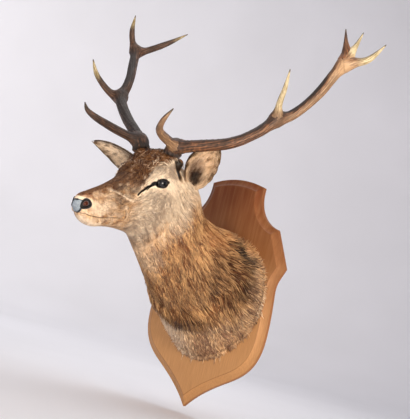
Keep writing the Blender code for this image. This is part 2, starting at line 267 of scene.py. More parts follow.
def tube(path: Array, radius: Array, sides: int) -> tuple[Array, Array, Array]:
    """Set rings round a path, turned as little as possible.

    Args:
        path: N x 3 centre line.
        radius: Radius at each point.
        sides: Points in a ring.

    Returns:
        Ring points N x sides x 3, outward directions, and the angle of each side.
    """
    along = unit(np.gradient(path, axis=0))
    side = np.array(Vector(along[0]).orthogonal().normalized())
    sides_at = []
    for way in along:
        side = unit(side - way * (side @ way))
        sides_at.append(side)
    first = np.array(sides_at)
    second = np.cross(along, first)
    angle = np.linspace(0, 2 * math.pi, sides, endpoint=False)
    out = (first[:, None] * np.cos(angle)[None, :, None]
           + second[:, None] * np.sin(angle)[None, :, None])
    return path[:, None] + out * np.asarray(radius)[:, None, None], out, angle


def grid_faces(rows: int, columns: int, wrap: bool) -> Array:
    """Number the quads of a grid of points.

    Args:
        rows: Its rows.
        columns: Points in a row.
        wrap: Whether each row is closed.

    Returns:
        N x 4 vertex numbers.
    """
    i = np.arange(rows - 1)[:, None]
    j = np.arange(columns if wrap else columns - 1)[None]
    k = (j + 1) % columns
    corners = [i * columns + j, i * columns + k, (i + 1) * columns + k, (i + 1) * columns + j]
    return np.stack(corners, -1).reshape(-1, 4)


def fans(rows: int, columns: int) -> Array:
    """Number the triangles that close a wrapped grid at its first and last row.

    Args:
        rows: Its rows.
        columns: Points in a row.

    Returns:
        N x 3 vertex numbers, for a middle point of each end stored after the grid.
    """
    j, total = np.arange(columns), rows * columns
    k, last = (j + 1) % columns, total - columns
    return np.concatenate([np.stack([k, j, np.full(columns, total)], -1),
                           np.stack([j + last, k + last, np.full(columns, total + 1)], -1)])


def triangles(quads: Array, more: Array) -> Array:
    """Return quads cut into triangles, with more triangles after them."""
    return np.concatenate([quads[:, [0, 1, 2]], quads[:, [0, 2, 3]], more])


# --- finishes --------------------------------------------------------------------------
# settings that several nodes share
SUM = {"operation": "MULTIPLY_ADD"}
SOFT = {"interpolation_type": "SMOOTHSTEP"}
COLOUR = {"data_type": "RGBA"}


def plug(tree: Tree, node: bpy.types.Node, inputs: dict[Any, Any]) -> None:
    """Give a node its inputs.

    Args:
        tree: Where the node is.
        node: The node.
        inputs: Socket name or number to a number, a colour code or another node's output.
    """
    for name, value in inputs.items():
        if isinstance(value, Socket):
            tree.links.new(value, node.inputs[name])
        else:
            node.inputs[name].default_value = linear(value) if isinstance(value, str) else value


def add(tree: Tree, kind: str, inputs: dict[Any, Any], give: Any = 0, **settings: Any) -> Socket:
    """Add one node with its settings and links.

    Args:
        tree: Where it goes.
        kind: Blender's name of the node, without its ShaderNode.
        inputs: What plug takes.
        give: Name or number of the output wanted.
        settings: Attributes to set.

    Returns:
        That output.
    """
    made = tree.nodes.new("ShaderNode" + kind)
    for name, value in settings.items():
        setattr(made, name, value)
    plug(tree, made, inputs)
    return made.outputs[give]


def blank(name: str, *masks: str) -> tuple[Material, Tree, bpy.types.Node, Socket, dict[str, Socket]]:
    """Start a material.

    Args:
        name: Its name.
        masks: Names of the numbers stored on the mesh that it reads.

    Returns:
        The material, its tree and shader, the place on the object, and a socket for each mask.
    """
    made = bpy.data.materials.new(name)
    made.use_nodes = True
    tree = made.node_tree
    return (made, tree, tree.nodes["Principled BSDF"], add(tree, "TexCoord", {}, "Object"),
            {mask: add(tree, "Attribute", {}, "Fac", attribute_name=mask) for mask in masks})


@dataclass(frozen=True)
class DeerHair:
    """Red deer winter hair, dried and a little faded: dull, fibrous, darker at the root, partly as painted
    shade deep in the coat.
    """

    tan: str = "#D7A873"
    shade: str = "#794A2B"
    brown: str = "#46250C"
    rust: str = "#9A5D31"
    cream: str = "#FFE9CC"
    black: str = "#0D0A08"
    slate: tuple[str, str, str] = ("#77828E", "#AEB9C4", "#3A4048")
    raw: str = "#5E3020"

    def build(self, name: str, skin: bool) -> Material:
        """Make the material of the coat, or of the hide under it.

        Args:
            name: Name of the material.
            skin: Whether it is the hide, whose lying hairs are bump.

        Returns:
            The material.
        """
        own = ("bare", "raw") if skin else ("along",)
        made, tree, shader, place, mask = blank(name, "tone", *COAT_MASKS, *own)
        patchy = add(tree, "TexNoise", {"Vector": place, "Scale": 1 / 0.045, "Detail": 4})
        fine = add(tree, "TexNoise", {"Vector": place, "Scale": 1 / 0.004, "Detail": 3})
        streak = add(tree, "Math", {0: fine, 1: 0.45, 2: mask["tone"]}, **SUM)
        spread = add(tree, "MapRange", {"Value": streak, "From Min": 0.25}, **SOFT)
        worn = add(tree, "MapRange", {"Value": patchy, "From Min": 0.4, "From Max": 0.75, "To Max": 0.35})
        coats = [(spread, self.tan), (worn, self.rust)]
        for key, code, gain, base in (("rust", self.rust, 0, 1), ("cream", self.cream, 0.5, 0.7),
                                      ("brown", self.brown, -0.7, 1.42)):
            loose = add(tree, "Math", {0: spread, 1: gain, 2: base}, **SUM)
            coats.append((add(tree, "Math", {0: mask[key], 1: loose}, operation="MULTIPLY", use_clamp=True),
                          code))
        colour = self.shade
        for amount, code in coats:
            colour = add(tree, "Mix", {0: amount, 6: colour, 7: code}, 2, **COLOUR)
        if skin:
            # the bare nose is pebbled slate, the lids and the slits before the eyes are painted black and
            # varnished; the same black is painted shade in the slits before the left ear and under the end of
            # the long mane
            pebble = add(tree, "TexVoronoi", {"Vector": place, "Scale": 1 / 0.0022})
            stain = add(tree, "MapRange", {"Value": patchy, "From Min": 0.52, "From Max": 0.62,
                                           "To Max": 0.3})
            nose = add(tree, "Mix", {0: pebble, 6: self.slate[0], 7: self.slate[1]}, 2, **COLOUR)
            nose = add(tree, "Mix", {0: stain, 6: nose, 7: self.slate[2]}, 2, **COLOUR)
            for amount, code in ((mask["bare"], nose), (mask["black"], self.black), (mask["raw"], self.raw)):
                colour = add(tree, "Mix", {0: amount, 6: colour, 7: code}, 2, **COLOUR)
            gloss = add(tree, "Math", {0: mask["bare"], 1: mask["black"]}, operation="MAXIMUM")
            # lying hairs of about 0.3 mm drawn at 1.2 mm so that they show
            hairs = add(tree, "TexNoise", {"Vector": place, "Scale": 1 / 0.0012, "Detail": 2})
            rest = {"Roughness": add(tree, "MapRange", {"Value": gloss, "To Min": 0.85, "To Max": 0.42}),
                    "Normal": add(tree, "Bump", {"Height": hairs, "Strength": 0.45, "Distance": 0.0006})}
        else:
            # each hair is darker where it leaves the hide and paler at its tip: partly its own colour, partly
            # painted shade deep in the coat
            root = add(tree, "MapRange", {"Value": mask["along"], "From Max": 0.7, "To Min": 0.78,
                                          "To Max": 1.12})
            grey = add(tree, "CombineColor", {0: root, 1: root, 2: root})
            colour = add(tree, "Mix", {0: 1.0, 6: colour, 7: grey}, 2, blend_type="MULTIPLY", **COLOUR)
            # black marks, with painted shade in the slits before the left ear and under the end of the long
            # mane
            colour = add(tree, "Mix", {0: mask["black"], 6: colour, 7: self.black}, 2, **COLOUR)
            rest = {"Roughness": 0.62, "Sheen Weight": 0.04, "Sheen Roughness": 0.4}
        plug(tree, shader, {"Base Color": colour, "IOR": 1.55, "Specular IOR Level": 0.18, **rest})
        return made


@dataclass(frozen=True)
class AntlerBone:
    """Red deer antler, rubbed on bark: stained dark in the furrows, polished on the ridges, with painted
    shade on its upper side and painted light on its bleached lower side.
    """

    # dark in the furrows, and also laid on the upper side as painted shade
    stain: str = "#20130A"
    brown: str = "#5A3820"
    ridge: str = "#C29C74"
    warm: str = "#94603A"
    ivory: str = "#E0CFA6"
    olive: str = "#8F7A4C"
    point: str = "#2A1A10"

    def build(self) -> Material:
        """Make the material.

        Returns:
            The material.
        """
        made, tree, shader, place, mask = blank("antler_bone_stained", "ridge", "bleach_and_light", "tip", "upper",
                                                "point")
        lie = add(tree, "Attribute", {}, "Vector", attribute_name="straight")
        cloud = add(tree, "TexNoise", {"Vector": place, "Scale": 1 / 0.03, "Detail": 4})
        # furrows of about 2 mm run the length of the bone
        grain = add(tree, "TexNoise", {"Vector": lie, "Scale": 1 / 0.0022, "Detail": 3})
        height = add(tree, "Math", {0: grain, 1: 0.8, 2: mask["ridge"]}, **SUM)
        height = add(tree, "Math", {0: cloud, 1: 0.5, 2: height}, **SUM)
        high, top = (add(tree, "MapRange", {"Value": height, "From Min": low, "From Max": full}, **SOFT)
                     for low, full in ((0.85, 1.25), (1.08, 1.5)))
        # the bleached bone shows more of the rubbed colour on its lower side, as painted light
        top = add(tree, "Math", {0: mask["bleach_and_light"], 1: 0.45, 2: top}, use_clamp=True, **SUM)
        tip = add(tree, "Math", {0: grain, 1: 0.5, 2: mask["tip"]}, use_clamp=True, **SUM)
        pale = add(tree, "MapRange", {"Value": tip, "From Min": 0.35, "From Max": 1.15, "To Max": 0.95},
                   **SOFT)
        rubbed = add(tree, "Mix", {0: mask["bleach_and_light"], 6: self.warm, 7: self.ridge}, 2, **COLOUR)
        ivory = add(tree, "Mix", {0: high, 6: self.olive, 7: self.ivory}, 2, **COLOUR)
        # the stain colour also goes over the upper side as painted shade
        colour = self.stain
        for amount, code in ((high, self.brown), (top, rubbed), (pale, ivory), (mask["upper"], self.stain),
                             (mask["point"], self.point)):
            colour = add(tree, "Mix", {0: amount, 6: colour, 7: code}, 2, **COLOUR)
        plug(tree, shader, {
            "Base Color": colour, "IOR": 1.54,
            "Roughness": add(tree, "MapRange", {"Value": high, "To Min": 0.7, "To Max": 0.45}),
            "Normal": add(tree, "Bump", {"Height": grain, "Strength": 0.6, "Distance": 0.0012})})
        return made


@dataclass(frozen=True)
class VarnishedBeech:
    """Stained and varnished plank wood: fine upright grain under a thin, slightly worn gloss, darkened
    towards the top as painted shade.
    """

    # the colour at the top of the shield, darkened as painted shade
    dark: str = "#6E3308"
    warm: str = "#C08E5C"
    pale: str = "#C79668"
    line: str = "#6A3E1E"
    side: str = "#7E4D28"

    def build(self) -> Material:
        """Make the material.

        Returns:
            The material.
        """
        made, tree, shader, place, mask = blank("beech_stained_varnished", "edge")
        # year rings show as bands of about 12 mm, fibres as lines of 2 mm, both drawn out up the plank
        long, thin = (add(tree, "Mapping", {"Vector": place, "Scale": (1 / wide, 1 / wide, 1 / high)})
                      for wide, high in ((0.012, 0.22), (0.0022, 0.05)))
        bands = add(tree, "TexNoise", {"Vector": long, "Scale": 1, "Detail": 5, "Distortion": 0.6})
        fibre = add(tree, "TexNoise", {"Vector": thin, "Scale": 1, "Detail": 3})
        cloud = add(tree, "TexNoise", {"Vector": place, "Scale": 1 / 0.09, "Detail": 3})
        # painted shade: the wood is darkest at the top of the shield and warmer and lighter towards its foot
        level = add(tree, "SeparateXYZ", {0: place}, 2)
        uneven = add(tree, "Math", {0: cloud, 1: -0.16, 2: level}, **SUM)
        painted_shade_ramp = add(tree, "MapRange", {"Value": uneven, "From Min": 0.02, "From Max": -0.52}, **SOFT)
        lift = add(tree, "MapRange", {"Value": bands, "From Min": 0.4, "From Max": 0.75, "To Max": 0.2})
        lines = add(tree, "MapRange", {"Value": fibre, "From Min": 0.35, "From Max": 0.6, "To Min": 0.22,
                                       "To Max": 0})
        colour = self.dark
        for amount, code in ((painted_shade_ramp, self.warm), (lift, self.pale), (lines, self.line),
                             (mask["edge"], self.side)):
            colour = add(tree, "Mix", {0: amount, 6: colour, 7: code}, 2, **COLOUR)
        plug(tree, shader, {
            "Base Color": colour, "IOR": 1.5, "Specular IOR Level": 0.3, "Coat Weight": 0.02,
            "Coat Roughness": 0.25,
            "Roughness": add(tree, "MapRange", {"Value": bands, "To Min": 0.44, "To Max": 0.6}),
            "Normal": add(tree, "Bump", {"Height": fibre, "Strength": 0.15, "Distance": 0.0004})})
        return made


@dataclass(frozen=True)
class EyeGlass:
    """Blown taxidermist's glass, painted from behind: near black with a wet shine, its blue-grey iris partly
    painted reflection.
    """

    # the blue-grey iris stands in partly for blue glints of reflection
    iris: str = "#2B2F34"
    fleck: str = "#1C110A"
    rim: str = "#030303"

    def build(self) -> Material:
        """Make the material.

        Returns:
            The material.
        """
        made, tree, shader, _, mask = blank("blown_eye_glass", "pupil")
        noise = add(tree, "TexNoise", {"Scale": 1 / 0.0015, "Detail": 3})
        iris = add(tree, "Mix", {0: noise, 6: self.iris, 7: self.fleck}, 2, **COLOUR)
        colour = add(tree, "Mix", {0: mask["pupil"], 6: iris, 7: self.rim}, 2, **COLOUR)
        plug(tree, shader, {"Base Color": colour, "Roughness": 0.04, "IOR": 1.45, "Specular IOR Level": 0.5})
        return made


@dataclass(frozen=True)
class BackdropPaper:
    """Matt background paper, rolled down from the wall and very slightly clouded."""

    pale: str = "#F3F2F6"
    shade: str = "#E6E5E8"

    def build(self) -> Material:
        """Make the material.

        Returns:
            The material.
        """
        made, tree, shader, place, _ = blank("background_paper_matt")
        cloud = add(tree, "TexNoise", {"Vector": place, "Scale": 1.2, "Detail": 2})
        colour = add(tree, "Mix", {0: cloud, 6: self.shade, 7: self.pale}, 2, **COLOUR)
        plug(tree, shader, {"Base Color": colour, "Roughness": 0.9})
        return made


# --- markings ---------------------------------------------------------------------------
class Zone(Enum):
    """Where a patch is: both sides of the face, one place on the head, or on the body."""

    FACE = 1
    HEAD = 2
    BODY = 3


@dataclass(frozen=True)
class Patch:
    """One soft patch of the markings: its mask, centre, three radii and strength."""

    mask: str
    centre: Place
    radii: Place
    strength: float = 1.0
    zone: Zone = Zone.FACE


@dataclass(frozen=True)
class Markings:
    """The stag's markings and some painted shade, the same for hide and coat: numbers from a place on the
    body.
    """

    # how far the dark blaze of muzzle and forehead reaches from the middle: forward, reach
    blaze: tuple[tuple[float, float], ...] = (
        (-0.12, 0.04), (-0.09, 0.046), (-0.06, 0.05), (-0.03, 0.044), (0, 0.041), (0.02, 0.042),
        (0.046, 0.046), (0.072, 0.041), (0.108, 0.029), (0.15, 0.02), (0.19, 0.0165), (0.23, 0.013),
        (0.262, 0.009))
    patches: tuple[Patch, ...] = (
        # pale above, before and below the eye, on cheek, lips and chin
        Patch("cream", (0.03, 0.055, 0.014), (0.026, 0.02, 0.01)),
        Patch("cream", (0, 0.058, 0.03), (0.028, 0.02, 0.014)),
        Patch("cream", (-0.034, 0.064, 0.05), (0.026, 0.02, 0.016)),
        Patch("cream", (0, 0.072, -0.03), (0.05, 0.03, 0.018)),
        Patch("cream", (-0.06, 0.075, -0.04), (0.05, 0.03, 0.05), 0.85),
        Patch("cream", (0.03, 0.06, -0.09), (0.06, 0.04, 0.04), 0.8),
        Patch("cream", (0.205, 0.035, -0.065), (0.04, 0.02, 0.024), 0.62),
        Patch("cream", (0.215, 0, -0.105), (0.06, 0.04, 0.022), 0.82),
        # darker on the side of the muzzle, rusty at the lip's corner and over the nose
        Patch("brown", (0.124, 0.036, -0.04), (0.034, 0.016, 0.022), 0.62),
        Patch("brown", (0.122, 0.028, -0.014), (0.04, 0.014, 0.016), 0.8),
        Patch("brown", (0.092, 0.045, -0.02), (0.03, 0.016, 0.014), 0.62),
        Patch("rust", (0.176, 0.031, -0.096), (0.01, 0.014, 0.008), 0.95),
        Patch("brown", (0.176, 0.031, -0.096), (0.009, 0.014, 0.007), 0.45),
        Patch("rust", (0.25, 0.012, -0.03), (0.022, 0.018, 0.0075), 0.95),
        # the right brow, and the feet of both antlers
        Patch("brown", (0.014, -0.058, 0.038), (0.018, 0.014, 0.013), 0.95, Zone.HEAD),
        Patch("black", (0.018, -0.06, 0.034), (0.014, 0.012, 0.01), 0.75, Zone.HEAD),
        Patch("brown", (-0.07, -0.04, 0.06), (0.03, 0.02, 0.02), 0.85, Zone.HEAD),
        Patch("brown", (-0.075, 0.03, 0.075), (0.03, 0.024, 0.02), 0.85, Zone.HEAD),
        # dark and rusty on shoulder and chest, black at the shield as painted shade under the end of the long
        # mane, a pale rim and throat
        Patch("brown", (0.04, -0.13, -0.335), (0.12, 0.06, 0.045), 0.75, Zone.BODY),
        Patch("brown", (0.14, -0.125, -0.18), (0.07, 0.07, 0.1), 0.85, Zone.BODY),
        Patch("brown", (0.07, -0.19, -0.26), (0.11, 0.09, 0.09), 0.35, Zone.BODY),
        Patch("brown", (-0.06, -0.23, -0.23), (0.05, 0.06, 0.08), 0.35, Zone.BODY),
        Patch("rust", (0.1, -0.16, -0.075), (0.05, 0.05, 0.045), 0.45, Zone.BODY),
        Patch("black", (0.126, -0.093, -0.106), (0.034, 0.026, 0.044), 0.95, Zone.BODY),
        Patch("brown", (0.16, -0.078, -0.14), (0.03, 0.03, 0.05), 0.95, Zone.BODY),
        Patch("black", (0.157, -0.076, -0.122), (0.018, 0.02, 0.038), 0.85, Zone.BODY),
        Patch("black", (0.165, -0.094, -0.2), (0.014, 0.016, 0.04), 0.55, Zone.BODY),
        Patch("cream", (0.205, -0.03, -0.23), (0.016, 0.014, 0.09), 0.6, Zone.BODY),
        Patch("cream", (-0.02, -0.31, -0.19), (0.05, 0.06, 0.06), 0.42, Zone.BODY))
    # where the long mane ends: across the body, distance from the wall
    mane_end: tuple[tuple[float, float], ...] = (
        (-0.06, -0.152), (0.005, -0.15), (0.0785, -0.116), (0.142, -0.088), (0.179, -0.0756),
        (0.195, -0.062))
    # openings before the stag's left ear, painted black as shade: path and half width at each point
    slits: tuple[tuple[tuple[float, ...], ...], ...] = (
        ((-0.094, 0.056, 0.062, 0.024), (-0.089, 0.063, 0.036, 0.018), (-0.092, 0.07, 0.015, 0.0125),
         (-0.096, 0.078, 0, 0.0075), (-0.093, 0.085, -0.016, 0.0032)),
        ((-0.082, 0.081, -0.022, 0.0046), (-0.073, 0.084, -0.043, 0.003)),
        ((-0.13, 0.11, -0.058, 0.0034), (-0.129, 0.125, -0.088, 0.0026)))
    # a sharp pale fold across the side of the muzzle: forward, up
    fold: tuple[tuple[float, float], ...] = ((0.156, -0.0193), (0.1315, -0.0288), (0.0914, -0.0492))
    # the bare bump before the left ear
    knob: Place = (-0.101, 0.062, 0.064)
    knob_radii: Place = (0.013, 0.013, 0.012)

    def gape(self, head: Array) -> Array:
        """Return the distance from the slits as a share of their half width."""
        return np.minimum.reduce([line_distance(head, path, np.divide) for path in self.slits])

    def past_mane(self, points: Array) -> Array:
        """Return how far points are past the line where the long mane ends, towards the shield."""
        return points[..., 1] - np.interp(points[..., 0], *zip(*self.mane_end))

    def weigh(self, points: Array) -> dict[str, Array]:
        """Work out every mask of the coat.

        Args:
            points: World points of the body.

        Returns:
            One number for each point, under the mask's name.
        """
        head = to_head(points)
        wander = 0.004 * ripple(points, 0.03, 5) + 0.0022 * ripple(points, 0.008, 6)
        folded = np.stack([head[..., 0], np.abs(head[..., 1]), head[..., 2]], -1)
        out = {name: np.zeros(points.shape[:-1]) for name in COAT_MASKS}

        def raise_to(mask: str, value: Array) -> None:
            """Raise a mask to at least a value."""
            out[mask] = np.maximum(out[mask], value)

        # face and jaw are pale all over, and the neck takes over behind them
        rear = head[..., 0] + head[..., 2] + 3 * wander
        face = ease(-0.205, -0.105, rear)
        nape = ease(-0.075, -0.145, rear) * ease(-0.14, -0.02, points[..., 2])
        cheek = ease(0.1, 0.04, head[..., 0])
        mottle = 0.12 * ripple(points, 0.016, 9) + 0.1 * ripple(points, 0.006, 12)
        out["cream"] = np.clip((0.26 + 0.74 * cheek + mottle) * face, 0, 1)
        flecks = ripple(points, 0.0045, 13) + 0.7 * ripple(points, 0.0025, 14)
        out["brown"] = 0.28 * ease(0.9, 2.1, flecks) * face * cheek + 0.3 * nape
        for patch in self.patches:
            spot = {Zone.FACE: folded, Zone.HEAD: head, Zone.BODY: points}[patch.zone]
            away = np.linalg.norm((spot - patch.centre) / patch.radii, axis=-1) + wander / 0.02
            raise_to(patch.mask, patch.strength * ease(1.35, 0.55, away))
        edge = np.interp(folded[..., 0], *zip(*self.blaze))
        above = ease(-0.06, -0.035, head[..., 2] - 0.1 * np.clip(-head[..., 0], 0, 1))
        on_head = ease(-0.13, -0.095, head[..., 0] - 0.2 * (head[..., 2] - 0.07))
        blaze = ease(0.007, -0.007, folded[..., 1] - edge + 1.3 * wander) * above * on_head
        fleck = ease(0.5, 1.6, ripple(points, 0.0045, 17) + 0.6 * ripple(points, 0.012, 18))
        raise_to("brown", blaze * (0.94 - 0.3 * ease(0.06, 0.2, head[..., 0])) * (1 - 0.5 * fleck))
        raise_to("rust", 0.6 * blaze)
        out["cream"] *= 1 - blaze * (1 - 0.4 * fleck)
        # the short fringe by the shield is greyer, and shaded where the long mane ends over it
        low = ease(-0.1, -0.16, points[..., 2])
        past = self.past_mane(points) + 1.5 * wander
        fringe = ease(-0.007, 0.007, past) * low
        raise_to("cream", 0.22 * fringe + 0.78 * (ease(0.05, -0.06, points[..., 0]) * fringe))
        out["brown"] *= 1 - 0.8 * fringe * ease(0.145, 0.11, points[..., 0])
        raise_to("brown", 0.42 * fringe * ease(0.1, 0.18, points[..., 0]))
        fold = line_distance(folded[..., [0, 2]], self.fold)
        pale = ease(0.0026, 0.001, fold + 0.0012 * ripple(points, 0.008, 19))
        raise_to("cream", 0.75 * pale)
        out["brown"] *= 1 - 0.75 * pale
        under = 0.12 + 0.45 * ease(-0.31, -0.36, points[..., 2]) * ease(0, 0.04, points[..., 0])
        under = under * (1 + 0.6 * ripple(points, 0.02, 15))
        raise_to("black", low * np.clip(under, 0, 0.8) * bell(past + 0.006, 0.008))
        # painted shade: the slits before the left ear are black and lose their cream
        gape = self.gape(head)
        raise_to("black", 0.97 * ease(1.15, 0.7, gape))
        out["cream"] *= ease(0.7, 1.25, gape)
        knob = ease(1.2, 0.7, np.linalg.norm((head - self.knob) / self.knob_radii, axis=-1))
        raise_to("rust", 0.9 * knob)
        raise_to("brown", 0.5 * knob)
        out["black"] *= 1 - 0.85 * knob
        return out


# --- the hide -----------------------------------------------------------------------------
@dataclass
class Pelt:
    """A grid of points on the hide that hairs can be rooted on and led along."""

    points: Array
    wrap: bool
    # its corner and size on the unwrapped hide
    corner: tuple[float, float] = (0.01, 0.01)
    span: tuple[float, float] = (0.97, 0.97)
    flip: float = 1.0

    def __post_init__(self) -> None:
        """Work out the two grid directions and the normal at every point."""
        p = self.points
        self.down = np.gradient(p, axis=0)
        self.across = (np.roll(p, -1, 1) - np.roll(p, 1, 1)) / 2 if self.wrap else np.gradient(p, axis=1)
        self.normal = unit(np.cross(self.across, self.down)) * self.flip

    def turned(self, at: tuple[int, int], out: Array) -> "Pelt":
        """Turn the normals outwards.

        Args:
            at: A row and column.
            out: Roughly outwards there.

        Returns:
            The pelt itself.
        """
        if self.normal[at] @ out < 0:
            self.normal, self.flip = -self.normal, -1.0
        return self

    def at(self, table: Array, i: Array, j: Array) -> Array:
        """Read a table of the grid between its points.

        Args:
            table: Numbers or vectors over the grid.
            i: Rows, as fractions.
            j: Columns, as fractions.

        Returns:
            One number or vector for each place.
        """
        rows, columns = table.shape[:2]
        i = np.clip(i, 0, rows - 1.001)
        j = np.mod(j, columns) if self.wrap else np.clip(j, 0, columns - 1.001)
        i0, j0 = i.astype(int), j.astype(int) % columns
        u, v = i - i0, j - np.floor(j)
        if table.ndim > 2:
            u, v = u[:, None], v[:, None]
        j1 = (j0 + 1) % columns
        near = table[i0, j0] * (1 - v) + table[i0, j1] * v
        far = table[i0 + 1, j0] * (1 - v) + table[i0 + 1, j1] * v
        return near * (1 - u) + far * u

    def scatter(self, density: Array, count: int, rng: np.random.Generator) -> tuple[Array, Array]:
        """Choose random places on the grid.

        Args:
            density: Wanted hairs for each area at every grid point, any scale.
            count: How many places.
            rng: Where the chance comes from.

        Returns:
            Row and column of each place, as fractions.
        """
        area = np.linalg.norm(np.cross(self.across, self.down), axis=-1) * density
        area = area[:-1] if self.wrap else area[:-1, :-1]
        total = np.cumsum(area.ravel())
        pick = np.searchsorted(total, rng.uniform(0, total[-1], count))
        i, j = np.divmod(pick, area.shape[1])
        return i + rng.uniform(0, 1, count), j + rng.uniform(0, 1, count)

    def flat(self, i: Array, j: Array) -> Array:
        """Find places on the unwrapped hide.

        Args:
            i: Rows.
            j: Columns.

        Returns:
            Their (u, v).
        """
        rows, columns = self.points.shape[:2]
        return np.stack([self.corner[0] + self.span[0] * np.mod(j, columns) / columns,
                         self.corner[1] + self.span[1] * i / rows], -1)

    def flat_all(self) -> Array:
        """Return (u, v) of every grid point."""
        return self.flat(*np.indices(self.points.shape[:2])).reshape(-1, 2)


@dataclass(frozen=True)
class Lock:
    """How the tufts of one region are cut: how many, their pattern of chance, sizes in metres."""

    count: int
    seed: int
    length: float
    width: float
    # how steeply they rise, in degrees, and in how many steps they bend
    lift: float
    steps: int
    # how much their sizes differ, how far they sway, how they hang, and how round they are
    spread: float
    sweep: float
    sag: float = 0.0
    thick: float = 0.35


@dataclass
class Coat:
    """Tufts over a pelt: closed tapering slivers, led along the hide and lifted a little."""

    pelt: Pelt
    marks: Callable[[Array, Array, Array], dict[str, Array]]
    finish: Material
    board_front: float
    # how deep a tuft is rooted, and how wide its patch on the unwrapped hide is
    root: float = 0.0006
    patch: float = 0.003

    def lines(self, cut: Lock, i: Array, j: Array, length: Array, rng: np.random.Generator
              ) -> tuple[Array, Array, Array]:
        """Lead every tuft along the hide.

        Args:
            cut: How the tufts are cut.
            i: Row of each root.
            j: Column of each root.
            length: Length of each tuft.
            rng: Where the chance comes from.

        Returns:
            Points, sideways directions and normals, each steps + 1 x count x 3.
        """
        pelt, steps, count = self.pelt, cut.steps, cut.count
        root = pelt.at(pelt.points, i, j)
        drift = cut.sweep * (ripple(root, 0.022, cut.seed + 1) + 0.6 * rng.normal(size=count))
        phase = rng.uniform(0, 6.3, count)
        lift = np.tan(np.radians(cut.lift)) * rng.uniform(0.55, 1.45, count)
        rows = []
        u, v = i, j
        for k in range(steps + 1):
            place, normal = pelt.at(pelt.points, u, v), unit(pelt.at(pelt.normal, u, v))
            down, across = pelt.at(pelt.down, u, v), pelt.at(pelt.across, u, v)
            sway = drift + 0.35 * cut.sweep * np.sin(phase + 2.2 * k)
            way = unit(down) + unit(across) * sway[:, None] + np.array([0, 0, -cut.sag])
            way = unit(way - normal * np.sum(way * normal, -1, keepdims=True))
            share = k / steps
            rise = length * lift * (share - 0.42 * share**2) - self.root * (1 - share)
            rows.append((place + normal * rise[:, None], unit(np.cross(way, normal)), normal))
            # one step along the hide, in rows and columns
            e, f, g = (np.sum(x * y, -1) for x, y in ((down, down), (down, across), (across, across)))
            p, q = np.sum(down * way, -1), np.sum(across * way, -1)
            det = np.maximum(e * g - f * f, 1e-16)
            step = length / steps
            u, v = u + (g * p - f * q) / det * step, v + (e * q - f * p) / det * step
        line, side, normal = (np.array(column) for column in zip(*rows))
        # past the edge of the hide the lock goes straight on
        past = np.linalg.norm(np.diff(line, axis=0), axis=-1) < 0.35 * length / steps
        for k in range(1, steps + 1):
            way = unit(line[k - 1] - line[k - 2]) if k > 1 else unit(np.cross(normal[0], side[0]))
            ahead = line[k - 1] + way * (length / steps)[:, None]
            line[k] = np.where(past[k - 1][:, None], ahead, line[k])
        line[..., 1] = np.minimum(line[..., 1], self.board_front - 0.0006)
        return line, side, normal

    def grow(self, name: str, density: Array, cut: Lock, size: Array | None = None, chance: int = 0) -> None:
        """Make one piece of the coat.

        Args:
            name: Name of the piece.
            density: Hairs wanted over the grid.
            cut: How its tufts are cut.
            size: Scale of the tufts over the grid.
            chance: Added to the cut's pattern of chance.
        """
        cut = replace(cut, seed=cut.seed + chance)
        rng = np.random.default_rng(cut.seed)
        pelt, count, steps = self.pelt, cut.count, cut.steps
        i, j = pelt.scatter(density, count, rng)
        scale = rng.uniform(1 - cut.spread, 1 + cut.spread, count)
        if size is not None:
            scale *= pelt.at(size, i, j)
        length, width = cut.length * scale, cut.width * scale**0.5 * rng.uniform(0.75, 1.25, count)
        line, side, normal = self.lines(cut, i, j, length, rng)
        rings = []
        for k, taper in enumerate((0.75, 1.0, 0.8)[:steps] if steps > 1 else (1.0,)):
            half = side[k] * (width * 0.5 * taper)[:, None]
            up = normal[k] * (width * cut.thick * taper)[:, None]
            rings += [line[k] - half, line[k] + half, line[k] + up]
        verts = np.stack([*rings, line[steps]], 1)
        per, a = verts.shape[1], 3 * (steps - 1)
        faces = [(0, 2, 1)]
        for b in range(0, a, 3):
            for x, y in ((0, 1), (1, 2), (2, 0)):
                faces += [(b + x, b + y, b + 3 + y), (b + x, b + 3 + y, b + 3 + x)]
        faces += [(a, a + 1, per - 1), (a + 1, a + 2, per - 1), (a + 2, a, per - 1)]
        faces = np.array(faces)[None] + (np.arange(count) * per)[:, None, None]
        item = make_mesh(name, verts.reshape(-1, 3), faces.reshape(-1, 3))
        along = np.repeat([k / steps for k in range(steps)], 3).tolist() + [1.0]
        streaks = ripple(np.stack([j * 0.9, i * 0.09], -1), 3.0, cut.seed + 2)
        tone = np.clip(0.5 + 0.24 * streaks + 0.26 * rng.normal(size=count), 0, 1)
        # the marks of single hairs differ, more where the hair is long
        loose = 0.45 if cut.length > 0.02 else 0.18
        vary = {k: rng.uniform(1 - loose, 1 + 0.3 * loose, count) for k in ("brown", "cream")}
        marks = self.marks(i, j, pelt.at(pelt.points, i, j))
        paint(item, {**{k: np.repeat(v * vary.get(k, 1.0), per) for k, v in marks.items()},
                     "tone": np.repeat(tone, per), "along": np.tile(along, count)})
        across = np.array([-0.5, 0.5, 0.0] * steps + [0.0])
        patch = np.stack([across, np.array(along) - 0.5], -1) * self.patch
        map_flat(item, (pelt.flat(i, j)[:, None] + patch[None]).reshape(-1, 2))
        item.data.materials.append(self.finish)
        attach(item, "root")
        LOG.info("%s: %d tufts, %d triangles", name, count, len(item.data.polygons))


